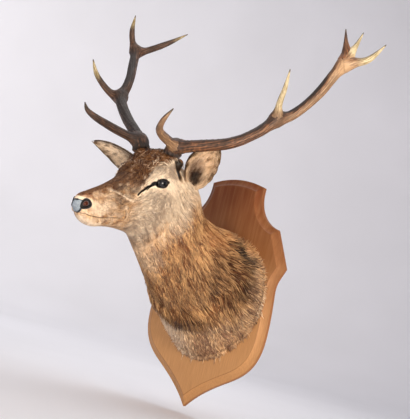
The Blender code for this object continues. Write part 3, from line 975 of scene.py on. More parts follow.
@dataclass(frozen=True)
class EyeSet:
    """One eye's place and the almond of its lids, in the head's axes."""

    centre: Place = (-0.009, 0.056, -0.001)
    gaze: Place = (0.3, 0.95, 0.03)
    radius: float = 0.0203
    half_length: float = 0.0222
    half_height: float = 0.0094
    ahead: float = 0.0034
    tilt: float = -4.0

    def axes(self, side: int) -> tuple[Array, Array, Array, Array]:
        """Place one eye.

        Args:
            side: 1 for the left eye, -1 for the right one.

        Returns:
            Its centre, gaze, long axis and upright in head axes.
        """
        flip = np.array([1, side, 1])
        upright = np.array([0, 0, 1.0])
        gaze = unit(np.array(self.gaze)) * flip
        long = unit(np.cross(upright, gaze)) * -side
        up = unit(upright - gaze * gaze[2])
        a = math.radians(self.tilt)
        return (np.array(self.centre) * flip, gaze,
                long * math.cos(a) + up * math.sin(a), up * math.cos(a) - long * math.sin(a))

    def local(self, head: Array, side: int) -> tuple[Array, Array, Array, Array]:
        """Look at points from one eye.

        Args:
            head: Head points.
            side: 1 for the left eye, -1 for the right one.

        Returns:
            Distances along, up and out, and outside the almond between the lids, below 0 in it.
        """
        centre, gaze, long, up = self.axes(side)
        v = head - centre
        a, b = v @ long - self.ahead, v @ up
        return a, b, v @ gaze, self.outside(a, b)

    def outside(self, along: Array, up: Array) -> Array:
        """Measure how far outside the almond between the lids a place is.

        Args:
            along: Distance forwards from its middle.
            up: Distance upwards from its middle.

        Returns:
            The distance, below 0 within the almond.
        """
        length, height = self.half_length, self.half_height
        radius = (length**2 + height**2) / (2 * height)
        drop = radius - height
        return np.maximum(np.hypot(along, up + drop), np.hypot(along, up - drop)) - radius


@dataclass
class Hide:
    """The whole skin of head and neck, with its lids, folds, lips and nostrils."""

    # top forward, up, bottom forward, up, half width, widest level, squareness of the halves
    head_rings: tuple[tuple[float, ...], ...] = (
        (0.26, -0.044, 0.256, -0.074, 0.013, 0, 2, 2),
        (0.25, -0.034, 0.244, -0.088, 0.0245, 0, 2.2, 2.1),
        (0.232, -0.027, 0.226, -0.101, 0.0325, 0.05, 2.2, 2.2),
        (0.206, -0.021, 0.202, -0.111, 0.036, -0.05, 2.1, 2.3),
        (0.172, -0.012, 0.174, -0.113, 0.037, -0.15, 2, 2.2),
        (0.135, -0.001, 0.145, -0.116, 0.04, -0.15, 2, 2.1),
        (0.095, 0.012, 0.115, -0.121, 0.045, 0, 2, 2),
        (0.055, 0.03, 0.09, -0.127, 0.053, 0.18, 2, 1.9),
        (0.02, 0.052, 0.068, -0.133, 0.064, 0.3, 2.3, 1.8),
        (-0.015, 0.07, 0.048, -0.14, 0.0695, 0.32, 2.5, 1.8),
        (-0.05, 0.082, 0.03, -0.149, 0.071, 0.3, 2.5, 1.9),
        (-0.09, 0.082, 0.015, -0.16, 0.073, 0.22, 2.3, 2),
        (-0.125, 0.064, 0.002, -0.174, 0.079, 0.1, 2.1, 2))
    # top y, z, bottom y, z, half width, sideways place
    neck_rings: tuple[tuple[float, ...], ...] = (
        (-0.243, 0.066, -0.326, -0.191, 0.087, -0.026),
        (-0.203, 0.044, -0.292, -0.224, 0.099, -0.021),
        (-0.168, -0.014, -0.246, -0.264, 0.1075, -0.021),
        (-0.138, -0.043, -0.19, -0.312, 0.128, -0.016),
        (-0.104, -0.058, -0.129, -0.363, 0.156, -0.004),
        (-0.065, -0.068, -0.071, -0.415, 0.189, 0.008),
        (-0.0226, -0.068, -0.0226, -0.446, 0.204, 0.01))
    # widest level and squareness of the halves, all down the neck
    neck_shape: tuple[float, float, float] = (0.02, 2.15, 1.82)
    nose_tip: Place = (0.264, 0, -0.059)
    # how deep the skin lies under the tips of the coat: ring, depth
    depths: tuple[tuple[float, float], ...] = (
        (-1, 0.0002), (1, 0.0003), (3, 0.0006), (6, 0.001), (8, 0.0014), (10, 0.0018), (12, 0.003),
        (13, 0.0048), (15, 0.008), (16.6, 0.009), (17.3, 0.012), (18, 0.011), (19, 0.009))
    crown_depth: float = 0.009
    # spacing of the rings: ring, metres
    spacing: tuple[tuple[float, float], ...] = (
        (-1, 0.0012), (2.5, 0.0013), (3.5, 0.002), (5.6, 0.002), (6.5, 0.0013), (7.5, 0.0011),
        (9.6, 0.0011), (10.4, 0.002), (12, 0.0024), (13, 0.0032), (19, 0.0036))
    sides_above: int = 54
    sides_below: int = 64
    dome_rings: int = 10
    eye: EyeSet = EyeSet()
    # soft forms of both sides: centre, radii, height
    forms: tuple[tuple[Place, Place, float], ...] = (
        ((0.036, 0.056, -0.008), (0.02, 0.03, 0.014), -0.006),
        ((0.004, 0.06, 0.028), (0.03, 0.03, 0.01), 0.003),
        ((0.06, 0.052, -0.046), (0.06, 0.03, 0.01), 0.0016),
        ((0.015, 0.06, -0.07), (0.045, 0.04, 0.03), 0.0022),
        ((0.11, 0.04, -0.03), (0.04, 0.03, 0.022), -0.0022),
        ((-0.062, 0.075, 0), (0.022, 0.04, 0.03), -0.003),
        ((0.215, 0.034, -0.062), (0.022, 0.02, 0.014), 0.0018))
    # bumps of one side: the root of the left ear's muscle, the right brow, and the bony stalks
    # of the antlers: centre, radius, height
    bumps: tuple[tuple[Place, float, float], ...] = (
        ((-0.098, 0.051, 0.053), 0.018, 0.024), ((0.012, -0.06, 0.036), 0.013, 0.0065),
        ((-0.058, 0.051, 0.071), 0.023, 0.0105), ((-0.058, -0.05, 0.071), 0.023, 0.0105))
    # lines on both sides, as forward and up: mouth, its corner, the slit before the eye, and folds
    mouth: tuple[tuple[float, float], ...] = (
        (0.256, -0.075), (0.244, -0.0768), (0.2337, -0.081), (0.2028, -0.0862), (0.1564, -0.0895),
        (0.1278, -0.0923), (0.115, -0.0915))
    crease: tuple[tuple[float, float], ...] = ((0.112, -0.072), (0.107, -0.082), (0.103, -0.093))
    duct: tuple[tuple[float, float], ...] = (
        (0.03, -0.004), (0.042, -0.0085), (0.053, -0.015), (0.0613, -0.0191), (0.0747, -0.031))
    folds: tuple[tuple[tuple[tuple[float, float], ...], float], ...] = (
        (Markings.fold, 0.0014),
        (((0.175, -0.03), (0.15, -0.043), (0.125, -0.06)), 0.0006),
        (((-0.02, -0.012), (-0.04, -0.02), (-0.055, -0.034)), 0.0008))
    nostril: Place = (0.248, 0.0215, -0.05)
    board_front: float = -0.022

    def frames(self, t: Array) -> Array:
        """Read the rings of the loft.

        Args:
            t: Places along it, counted in rings.

        Returns:
            Twelve numbers for each: top, bottom, sideways, widest level, squareness above and below.
        """
        rows = []
        for forward, up, under, low, half, *shape in self.head_rings:
            side = from_head((0, half, 0)) - from_head((0, 0, 0))
            rows.append([*from_head((forward, 0, up)), *from_head((under, 0, low)), *side, *shape])
        for y, z, low_y, low_z, half, across in self.neck_rings:
            rows.append([across, y, z, across * 0.6, low_y, low_z, half, 0, 0, *self.neck_shape])
        return catmull(rows, t)

    def outline(self) -> tuple[Array, Array]:
        """Set rings along the solid form, closed by a dome at the nose.

        Returns:
            Ring points, and the place of each ring on the loft.
        """
        last = len(self.head_rings) + len(self.neck_rings) - 1
        fine = np.linspace(0, last, 100 * last + 1)
        f = self.frames(fine)
        top, low = gaps_of(f[:, 0:3]), gaps_of(f[:, 3:6])
        length = np.r_[0, np.cumsum(gaps_of((f[:, 0:3] + f[:, 3:6]) / 2) * 0.5 + 0.25 * (top + low))]
        places, s = [0.0], 0.0
        while places[-1] < last - 0.03 and s < length[-1]:
            s += np.interp(places[-1], *zip(*self.spacing))
            places.append(float(np.interp(s, length, fine)))
        places = np.array(places[:-1] + [float(last)])
        f = self.frames(places)
        top, low, side = f[:, 0:3], f[:, 3:6], f[:, 6:9]
        middle = (top + low) / 2 + (top - low) / 2 * f[:, 9:10]
        angle = np.linspace(0, math.pi / 2, 120)
        c, s = np.cos(angle), np.sin(angle)
        quarters = []
        for end, square, sides, upper in ((top, f[:, 10], self.sides_above, True),
                                          (low, f[:, 11], self.sides_below, False)):
            share = np.linspace(0, 1, sides + 1)
            share = 0.55 * share + 0.45 * (1 - (1 - share) ** 2 if upper else share**2)
            rows = []
            for at, reach, across, power in zip(middle, end - middle, side, 2 / square):
                line = at + reach * (c**power)[:, None] + across * (s**power)[:, None]
                line = line if upper else line[::-1]
                run = run_of(line)
                rows.append(read_line(share, run / run[-1], line))
            quarters.append(np.array(rows))
        half = np.concatenate([quarters[0], quarters[1][:, 1:]], 1)
        inner = half[:, 1:-1]
        way = unit(side)[:, None]
        mirrored = inner - 2 * way * np.sum((inner - middle[:, None]) * way, -1, keepdims=True)
        rings = np.concatenate([half, mirrored[:, ::-1]], 1)
        tip = from_head(self.nose_tip)
        angle = np.linspace(0.06, math.pi / 2, self.dome_rings + 1)[:-1]
        dome = [middle[0] + (tip - middle[0]) * math.cos(a) + (rings[0] - middle[0]) * math.sin(a)
                for a in angle]
        return np.concatenate([np.array(dome), rings]), np.r_[-np.cos(angle), places]

    def build(self) -> Pelt:
        """Make the finished skin of head and neck.

        Returns:
            Its grid.
        """
        rings, self.places = self.outline()
        shape = Pelt(rings, True).turned((40, 20), rings[40, 20] - rings[40].mean(0))
        depth = np.interp(self.places, *zip(*self.depths))[:, None]
        head = to_head(rings)
        crown = ease(0.075, 0.035, np.abs(head[..., 1])) * ease(0.045, 0.01, head[..., 0])
        crown *= ease(0.0, 0.03, head[..., 2]) * ease(-0.13, -0.1, head[..., 0])
        skin = rings - shape.normal * (depth + self.crown_depth * crown)[..., None]
        skin = self.carve(skin, shape.normal)
        skin[..., 1] = np.minimum(skin[..., 1], self.board_front - 0.0004)
        self.pelt = Pelt(skin, True, (0.01, 0.01), (0.97, 0.8), shape.flip)
        return self.pelt

    def carve(self, skin: Array, normal: Array) -> Array:
        """Work sockets, lids, slits, lips and nostrils into the skin.

        Args:
            skin: Its points.
            normal: Their outward directions.

        Returns:
            The new points.
        """
        head = to_head(skin)
        out = to_head(skin + normal) - head
        folded = np.stack([head[..., 0], np.abs(head[..., 1]), head[..., 2]], -1)
        f, l, u = folded[..., 0], folded[..., 1], folded[..., 2]
        flank, profile = ease(0.015, 0.03, l), folded[..., [0, 2]]
        rise = sum(height * np.exp(-np.linalg.norm((folded - centre) / radii, axis=-1) ** 2)
                   for centre, radii, height in self.forms)
        # chin, jaw and the top of the nose are full
        rise += 0.0024 * ease(-0.3, -0.85, out[..., 2]) * ease(0.252, 0.235, f) * ease(-0.03, 0.02, f)
        rise += 0.0016 * ease(0.6, 0.9, out[..., 2]) * ease(0.15, 0.2, f)
        for centre, radius, height in self.bumps:
            rise += height * bell(np.linalg.norm(head - centre, axis=-1), radius, 4)
        gape = Markings().gape(head)
        rise += -0.005 * bell(gape, 0.8) * ease(9.0, 1.0, gape)
        # the lips part in a groove, full above it and drawn in below
        self.lip = line_distance(profile, self.mouth)
        level = u - np.interp(-f, [-p[0] for p in self.mouth], [p[1] for p in self.mouth])
        near = ease(0.1, 0.118, f) * (l > 0.004)
        rise += near * (-0.0034 * bell(self.lip, 0.0013)
                        + 0.0013 * ease(0.0, 0.003, level) * bell(self.lip, 0.008)
                        - 0.0015 * ease(0.0, -0.002, level) * bell(self.lip, 0.01))
        self.corner = line_distance(profile, self.crease)
        rise += flank * (-0.0022 * bell(self.corner, 0.0016) + 0.001 * bell(self.corner - 0.004, 0.003))
        self.slit = line_distance(profile, self.duct)
        rise += ease(0.03, 0.04, l) * (-0.0042 * bell(self.slit, 0.0015)
                                       + 0.0014 * bell(self.slit - 0.0035, 0.0018))
        for path, height in self.folds:
            rise += flank * height * bell(line_distance(profile, path), 0.003)
        head = self.open_nostrils(head + out * rise[..., None], out)
        for side in (1, -1):
            head = self.fit_lids(head, side)
        return from_head(head)

    def nostril_shape(self, head: Array, side: int) -> Array:
        """Measure points against a nostril's bent oval.

        Args:
            head: Head points.
            side: 1 for the left one, -1 for the right one.

        Returns:
            0 in its middle, 1 at its edge.
        """
        v = head - np.array(self.nostril) * [1, side, 1]
        back = v @ unit(np.array([-0.75, 0.62 * side, 0.12]))
        deep = v @ unit(np.array([0.63, 0.77 * side, 0.0]))
        up = v[..., 2] - 0.25 * back
        up = up + 18.0 * np.clip(back, -0.02, 0.02) ** 2
        return np.sqrt((back / 0.009) ** 2 + (up / 0.0076) ** 2 + (deep / 0.022) ** 4)

    def open_nostrils(self, head: Array, out: Array) -> Array:
        """Sink both nostrils and raise their rims.

        Args:
            head: Head points.
            out: Their outward directions.

        Returns:
            The new points.
        """
        for side in (1, -1):
            shape = self.nostril_shape(head, side)
            pit = -0.011 * ease(1.05, 0.45, shape)
            head = head + out * (0.0016 * bell(shape - 1.28, 0.22)
                                 + np.where(head[..., 1] * side > 0, pit, 0))[..., None]
        return head

    def fit_lids(self, head: Array, side: int) -> Array:
        """Wrap the skin on one eye as lids, open at the almond.

        Args:
            head: Head points.
            side: 1 for the left eye, -1 for the right one.

        Returns:
            The new points.
        """
        a, b, g, d = self.eye.local(head, side)
        _, gaze, long, up = self.eye.axes(side)
        near = (g > -0.004) & (np.abs(a) < 0.05) & (np.abs(b) < 0.05)
        # points beside the almond are drawn onto its edge, so that the lid ends cleanly
        step = 1e-4
        da = (self.eye.outside(a + step, b) - d) / step
        db = (self.eye.outside(a, b + step) - d) / step
        edge = near & (np.abs(d) < 0.0007)
        move = np.where(edge, 0.00015 - d, 0)
        a, b = a + da * move, b + db * move
        head = head + (da * move)[..., None] * long + (db * move)[..., None] * up
        d = np.where(edge, 0.0, d)
        away = np.hypot(a + self.eye.ahead, b)
        ball = np.sqrt(np.maximum(self.eye.radius**2 - away**2, 0))
        lid = np.sqrt(np.maximum((self.eye.radius + 0.0021) ** 2 - away**2, 0))
        lid = lid + 0.0006 * bell(d - 0.0018, 0.0014) - 0.001 * bell(d - 0.0065, 0.0014)
        hold = ease(0.0135, 0.002, d) * ease(0.0, 0.006, lid)
        sunk = np.minimum(g, np.where(ball > 0, ball - 0.003, g - 0.004))
        target = np.where(d < 0, sunk, g + (np.maximum(lid, -1) - g) * hold)
        return head + (np.where(near, target - g, 0))[..., None] * gaze

    def nostrils(self, head: Array) -> Array:
        """Return the distance from the nearer nostril, 1 at its edge."""
        return np.minimum(self.nostril_shape(head, 1), self.nostril_shape(head, -1))

    def masks(self, marks: Markings) -> dict[str, Array]:
        """Work out every mask of the skin over its grid.

        Args:
            marks: The stag's markings.

        Returns:
            Numbers over the grid, under the mask's name.
        """
        head = to_head(self.pelt.points)
        values = marks.weigh(self.pelt.points)
        f, l, u = head[..., 0], np.abs(head[..., 1]), head[..., 2]
        # lids and corners of the eyes, slits, lips and the corner of the mouth are black
        darks = []
        corners = ((0.0245, 0.002, 0.0125, 0.0062), (-0.024, 0.0, 0.01, 0.005))
        for side in (1, -1):
            a, b, g, d = self.eye.local(head, side)
            lid = ease(0.0056, 0.004, d + 0.0016 * ease(0.0, -0.004, b)) * (g > -0.008)
            darks.append(lid * (np.abs(a) < 0.04))
            for along, level, long, high in corners:
                corner = np.hypot((a - along) / long, (b - level) / high)
                darks.append(ease(1.2, 0.8, corner) * (np.abs(g) < 0.03))
        wide = (0.0024 + 0.0024 * ease(0.07, 0.04, f)) * (1 + 0.25 * ripple(head, 0.006, 34))
        darks.append(ease(1.25, 0.75, self.slit / wide) * (l > 0.03))
        darks.append(0.8 * ease(0.0018, 0.0008, self.lip) * (f > 0.11))
        darks.append(0.95 * ease(0.0034, 0.0018, self.corner) * (l > 0.02))
        ring = self.nostrils(head)
        # how far inside the bare pad a point is, from its rear, lower and upper edge
        inside = np.minimum.reduce([f - 0.2542 + 0.1 * (u + 0.06), u + 0.0775, -0.0395 - (u + 0.15 * l)])
        front = ease(-0.0005, 0.001, inside)
        darks.append(ease(1.8, 1.58, ring) * ease(0.72, 0.9, ring))
        darks.append(0.92 * (ease(0.005, 0.0016, inside + 0.0018 * ripple(head, 0.006, 33)) * front))
        pale_rim = ease(0.0045, 0.003, np.abs(inside + 0.003)) * (f > 0.244) * (u > -0.05)
        return {"cream": np.maximum(values["cream"], pale_rim),
                "brown": values["brown"] * (1 - pale_rim), "rust": values["rust"] * (1 - pale_rim),
                "black": np.maximum.reduce([values["black"], *darks]),
                "bare": np.maximum(front, ease(1.8, 1.62, ring)), "raw": ease(0.9, 0.7, ring),
                "tone": 0.45 + 0.18 * ripple(self.pelt.points, 0.006, 31), "along": np.full(f.shape, 0.4)}


@dataclass
class Ear:
    """One cupped ear: root, tip and facing in the head's axes."""

    side: Side
    root: Place
    tip: Place
    facing: Place
    width: float
    full: float
    # how much the front and the rear margin bulge
    front: float
    rear: float
    # how pale the hollow is, and where the ear lies on the unwrapped hide
    pale: float
    level: float
    thick: float = 0.0055
    rows: int = 60
    columns: int = 44

    def spot(self, along: Array, across: Array, lift: Array) -> Array:
        """Find places on the ear.

        Args:
            along: 0 at the root to 1 at the tip.
            across: -1 at the front margin to 1 at the back one.
            lift: Distance outwards from the hollow side.

        Returns:
            World points.
        """
        s = self.side.value
        root, tip, face, zero = (from_head(np.array(p) * [1, s, 1])
                                 for p in (self.root, self.tip, self.facing, (0, 0, 0)))
        axis, face = tip - root, face - zero
        way = unit(axis)
        face = unit(face - way * (face @ way))
        wide = np.cross(way, face) * s
        swell = np.sin(np.pi * np.minimum(1.0, along**self.full * 0.97 + 0.03)) ** 0.62
        wider = self.front * ease(0, -1, across) + self.rear * ease(0, 1, across)
        half = self.width / 2 * np.maximum(swell, 0.1) * (1 + wider * np.sin(np.pi * along))
        # the margins curl forwards, most at the root
        curl = np.radians(74 - 38 * along)
        bend = across * curl
        depth = half / np.sin(curl)
        p = root + axis * along[..., None] + wide * (depth * np.sin(bend))[..., None]
        p = p + face * (depth * (1 - np.cos(bend)) - depth * 0.42)[..., None]
        out = face * -np.cos(bend)[..., None] + wide * np.sin(bend)[..., None]
        return p + out * np.asarray(lift)[..., None]

    def pelts(self) -> tuple[Pelt, Pelt]:
        """Make both sides of the ear.

        Returns:
            The hollow side and the outer side.
        """
        along, across = np.meshgrid(np.linspace(0, 0.985, self.rows), np.linspace(-0.95, 0.95, self.columns),
                                    indexing="ij")
        ragged = ripple(np.stack([along * 6, across * 0.3], -1), 0.5, 40 + self.side.value)
        across = across * (1 - 0.075 * np.maximum(ragged, 0) * np.abs(across) ** 6)
        thick = self.thick * (1 - 0.45 * along)
        # ribs of gristle stand up in the hollow
        ribs = 0.0007 * np.sin(9 * across + 1.5 * along) * ease(0.9, 0.5, along)
        ribs *= ease(0.95, 0.6, np.abs(across))
        inner = self.spot(along, across, thick * 0.3 - ribs)
        outer = self.spot(along, across, thick * 0.72)
        middle = (self.rows // 2, self.columns // 2)
        away = inner[middle] - outer[middle]
        return (Pelt(inner, False, (0.01, self.level), (0.48, 0.08)).turned(middle, away),
                Pelt(outer, False, (0.51, self.level), (0.48, 0.08)).turned(middle, -away))

    def shell(self, hollow: Pelt, back: Pelt) -> tuple[Array, Array]:
        """Join both sides round the margin.

        Args:
            hollow: The hollow side.
            back: The outer side.

        Returns:
            Vertices and quads of the ear's skin.
        """
        n, m = self.rows, self.columns
        sides = grid_faces(n, m, False)
        rim = [i * m for i in range(n)] + [(n - 1) * m + j for j in range(1, m)]
        rim += [i * m + m - 1 for i in range(n - 2, -1, -1)] + list(range(m - 2, 0, -1))
        a = np.array(rim)
        b = np.roll(a, -1)
        return (np.concatenate([hollow.points.reshape(-1, 3), back.points.reshape(-1, 3)]),
                np.concatenate([sides, (sides + n * m)[:, ::-1], np.stack([b, a, a + n * m, b + n * m], -1)]))

    def masks(self, pelt: Pelt, inner: bool) -> dict[str, Array]:
        """Work out the masks of one side.

        Args:
            pelt: That side.
            inner: Whether it is the hollow side.

        Returns:
            Numbers over its grid, under the mask's name.
        """
        rows, columns = pelt.points.shape[:2]
        along, across = np.meshgrid(np.linspace(0, 1, rows), np.linspace(-1, 1, columns), indexing="ij")
        soft, fine = ripple(pelt.points, 0.012, 61), ripple(pelt.points, 0.005, 62)
        edge = ease(0.8, 0.96, np.maximum(np.abs(across), along**3) + 0.06 * soft)
        edge *= np.where(across < 0, 1.0, 0.75) * ease(0.05, 0.2, along)
        zero = np.zeros((rows, columns))
        plain = {"rust": zero, "bare": zero, "raw": zero, "tone": zero + 0.5, "along": zero + 0.5}
        if not inner:
            return {**plain, "cream": 0.45 + zero, "brown": np.maximum(0.22, 0.9 * edge),
                    "black": 0.35 * edge}
        # painted shade: the hollow near the root is darkened brown and black
        pit = np.hypot((along - 0.18) / 0.24, (across + 0.04) / 0.6) + 0.1 * soft
        warm = ease(1.3, 0.6, np.hypot((along - 0.32) / 0.22, (across + 0.22) / 0.46) + 0.12 * soft)
        smudge = ease(0.2, 1.2, soft + 0.6 * fine) * ease(0.3, 0.6, along)
        return {**plain, "cream": self.pale - 0.3 * edge - 0.35 * smudge + 0.12 * fine,
                "brown": np.maximum.reduce([ease(1.35, 0.5, pit), 0.95 * edge, 0.55 * smudge, 0.6 * warm]),
                "black": np.maximum(0.8 * ease(0.85, 0.35, pit), 0.4 * edge * ease(0.25, 0.6, along)),
                "rust": 0.95 * warm}


@dataclass
class Head:
    """Skin, ears and coat of the stag."""

    marks: Markings = Markings()
    hide: Hide = field(default_factory=Hide)
    ears: tuple[Ear, ...] = (
        Ear(Side.LEFT, (-0.128, 0.079, -0.016), (-0.126, 0.151, 0.113), (0.66, 0.7, -0.1), 0.083, 1.0,
            0.24, -0.06, 0.52, 0.82),
        Ear(Side.RIGHT, (-0.094, 0.05, 0.004), (-0.046, 0.22, 0.074), (0.85, 0.2, -0.35), 0.074, 0.75,
            0.0, 0.16, 0.85, 0.91))
    # the coat's regions, from the nose back to the shield
    muzzle: Lock = Lock(18000, 101, 0.0085, 0.0013, 10, 1, 0.3, 0.22)
    crown: Lock = Lock(9500, 111, 0.017, 0.0027, 34, 3, 0.45, 1.7, 0, 0.4)
    cheek: Lock = Lock(20000, 121, 0.0135, 0.0016, 9, 1, 0.3, 0.24, 0.12)
    collar: Lock = Lock(14000, 131, 0.036, 0.0024, 10, 2, 0.35, 0.2, 0.15)
    mane: Lock = Lock(15500, 141, 0.044, 0.0026, 12, 2, 0.35, 0.22, 0.15)
    skirt: Lock = Lock(9000, 146, 0.042, 0.0034, 26, 2, 0.35, 0.26, 0.1)
    fringe: Lock = Lock(16000, 151, 0.026, 0.0028, 24, 2, 0.35, 0.36, 0.05)
    ear_hollow: Lock = Lock(5500, 176, 0.0125, 0.0015, 16, 1, 0.35, 0.3)
    ear_back: Lock = Lock(4000, 171, 0.0115, 0.0017, 12, 1, 0.3, 0.25)

    def build(self) -> None:
        """Make the skin with its ears, then the whole coat."""
        pelt = self.hide.build()
        rows, columns = pelt.points.shape[:2]
        # the grid, then the middle of its nose end and of its shield end, then the ears
        verts = [pelt.points.reshape(-1, 3), np.array([pelt.points[0].mean(0), pelt.points[-1].mean(0)])]
        quads, uv = [grid_faces(rows, columns, True)], [pelt.flat_all(), np.zeros((2, 2))]
        masks = {k: [v.ravel(), np.repeat(v[0, 0], 2)] for k, v in self.hide.masks(self.marks).items()}
        sides = []
        for ear in self.ears:
            hollow, outer = ear.pelts()
            points, faces = ear.shell(hollow, outer)
            quads.append(faces + sum(map(len, verts)))
            verts.append(points)
            for one, inner in ((hollow, True), (outer, False)):
                values = ear.masks(one, inner)
                sides.append((ear, one, inner, values))
                uv.append(one.flat_all())
                for name, parts in masks.items():
                    parts.append(values[name].ravel())
        faces = triangles(np.concatenate(quads), fans(rows, columns))
        skin = make_mesh("hide", np.concatenate(verts), faces[:, ::-1] if pelt.flip < 0 else faces)
        paint(skin, {name: np.concatenate(parts) for name, parts in masks.items()})
        map_flat(skin, np.concatenate(uv))
        skin.data.materials.append(DeerHair().build("tanned_deer_hide", True))
        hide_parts("head", "neck", "ear_left", "ear_right")
        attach(skin, "root")
        LOG.info("hide: %d triangles", len(skin.data.polygons))
        hair = DeerHair().build("red_deer_hair", False)
        self.grow_coat(hair)
        for side in sides:
            self.grow_ear(hair, *side)

    def bald(self) -> Array:
        """Work out where hair grows on the skin.

        Returns:
            1 where it does, 0 on nose, lids, slits and lips.
        """
        hide = self.hide
        head = to_head(hide.pelt.points)
        masks = hide.masks(self.marks)
        keep = 1 - np.maximum(masks["bare"], masks["raw"])
        keep *= 1 - 0.97 * ease(0.3, 0.7, masks["black"]) * (head[..., 0] > -0.045)
        keep *= ease(0.6, 1.0, self.marks.gape(head))
        keep *= ease(1.75, 2.0, hide.nostrils(head))
        for side in (1, -1):
            _, _, g, d = hide.eye.local(head, side)
            keep *= np.where(g > -0.006, ease(0.004, 0.0058, d), 1)
        return np.clip(keep * ease(0.0008, 0.0022, hide.lip), 0, 1)

    def grow_coat(self, hair: Material) -> None:
        """Make the coat of head and neck, region by region.

        Args:
            hair: Its material.
        """
        hide, pelt = self.hide, self.hide.pelt
        coat = Coat(pelt, lambda i, j, points: self.marks.weigh(points), hair, hide.board_front)
        t = hide.places[:, None] + np.zeros(pelt.points.shape[1])
        head = to_head(pelt.points)
        keep, gape = self.bald(), self.marks.gape(head)
        f, l, u = head[..., 0], np.abs(head[..., 1]), head[..., 2]
        crown = ease(0.003, -0.007, l - np.interp(f, *zip(*self.marks.blaze))) * ease(0.075, 0.035, f)
        crown *= ease(12.4, 11.6, t) * (u > -0.02)
        muzzle = ease(7.0, 6.2, t)
        below = ease(-0.1, -0.16, pelt.points[..., 2])
        past = below * self.marks.past_mane(pelt.points) + (1 - below) * 0.05 * (t - 17.22)
        # hair is shortest at the nose, round the eyes and in the slits
        small = 0.55 + 0.45 * ease(1.5, 6.0, t)
        for side in (1, -1):
            small = small * (0.45 + 0.55 * ease(0.004, 0.022, hide.eye.local(head, side)[3]))
        small = small * (0.25 + 0.75 * ease(1.0, 2.0, gape)) * (0.4 + 0.6 * ease(0.004, 0.014, hide.slit))
        coat.grow("coat_muzzle", keep * muzzle, self.muzzle, small)
        coat.grow("coat_crown", keep * crown, self.crown,
                  (0.45 + 0.55 * ease(0.06, 0.01, f)) * (0.3 + 0.7 * ease(1.0, 1.8, gape)))
        left = head[..., 1] >= 0
        for side, half in (("left", left), ("right", ~left)):
            where = keep * half
            coat.grow(f"coat_cheek_{side}", where * ((1 - muzzle) * ease(13.6, 12.8, t) * (1 - crown)),
                      self.cheek, small * (1 + ease(11.3, 13.4, t)))
            coat.grow(f"coat_collar_{side}", where * (ease(12.4, 13.4, t) * ease(16.0, 15.2, t)),
                      self.collar, 0.5 + 0.5 * ease(12.8, 14.8, t))
            coat.grow(f"coat_mane_{side}", where * (ease(14.8, 15.6, t) * ease(0.004, -0.004, past)),
                      self.mane)
        coat.grow("coat_skirt", keep * (ease(-0.036, -0.026, past) * ease(0.001, -0.003, past)), self.skirt)
        coat.grow("coat_fringe", keep * (ease(-0.006, 0.002, past) * ease(19.0, 18.9, t)), self.fringe)

    def grow_ear(self, hair: Material, ear: Ear, pelt: Pelt, inner: bool, masks: dict[str, Array]) -> None:
        """Cover one side of an ear.

        Args:
            hair: The coat's material.
            ear: Which ear.
            pelt: That side of it.
            inner: Whether it is the hollow side.
            masks: Its masks.
        """
        rows, columns = pelt.points.shape[:2]
        along, across = np.meshgrid(np.linspace(0, 1, rows), np.abs(np.linspace(-1, 1, columns)),
                                    indexing="ij")
        coat = Coat(pelt, lambda i, j, points: {k: pelt.at(masks[k], i, j) for k in COAT_MASKS},
                    hair, self.hide.board_front)
        coat.grow(f"coat_ear_{ear.side.word}_{'hollow' if inner else 'back'}",
                  1 + (1.5 if inner else 0.8) * across**3, self.ear_hollow if inner else self.ear_back,
                  (0.7 + 0.6 * across**2) * (1 - 0.35 * along), ear.side.value)


@dataclass
class Eyes:
    """The two glass eyes."""

    eye: EyeSet
    rings: int = 40
    sides: int = 56
    dome: float = 0.0011

    def build(self) -> None:
        """Make both eyes, each with a low clear dome over its iris."""
        glass = EyeGlass().build()
        polar = np.linspace(0.001, math.pi - 0.001, self.rings)[:, None]
        angle = np.linspace(0, 2 * math.pi, self.sides, endpoint=False)[None]
        swell = self.eye.radius + self.dome * bell(polar, 0.62, 4)
        for side in Side:
            centre, gaze, long, up = self.eye.axes(side.value)
            around = long * np.cos(angle)[..., None] + up * np.sin(angle)[..., None]
            p = gaze * np.cos(polar)[..., None] + around * np.sin(polar)[..., None]
            verts = from_head(centre + p * swell[..., None]).reshape(-1, 3)
            faces = grid_faces(self.rings, self.sides, True)
            item = make_mesh("eye_glass_" + side.word, verts, faces if side is Side.RIGHT else faces[:, ::-1])
            iris = ease(0.75, 1.0, np.hypot((p @ long) / 0.52, (p @ up) / 0.3))
            iris *= ease(1.0, 0.92, polar / 0.66)
            paint(item, {"pupil": (1 - iris).ravel()})
            item.data.materials.append(glass)
            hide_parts("eye_" + side.word)
            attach(item, "root")
            LOG.info("%s", item.name)


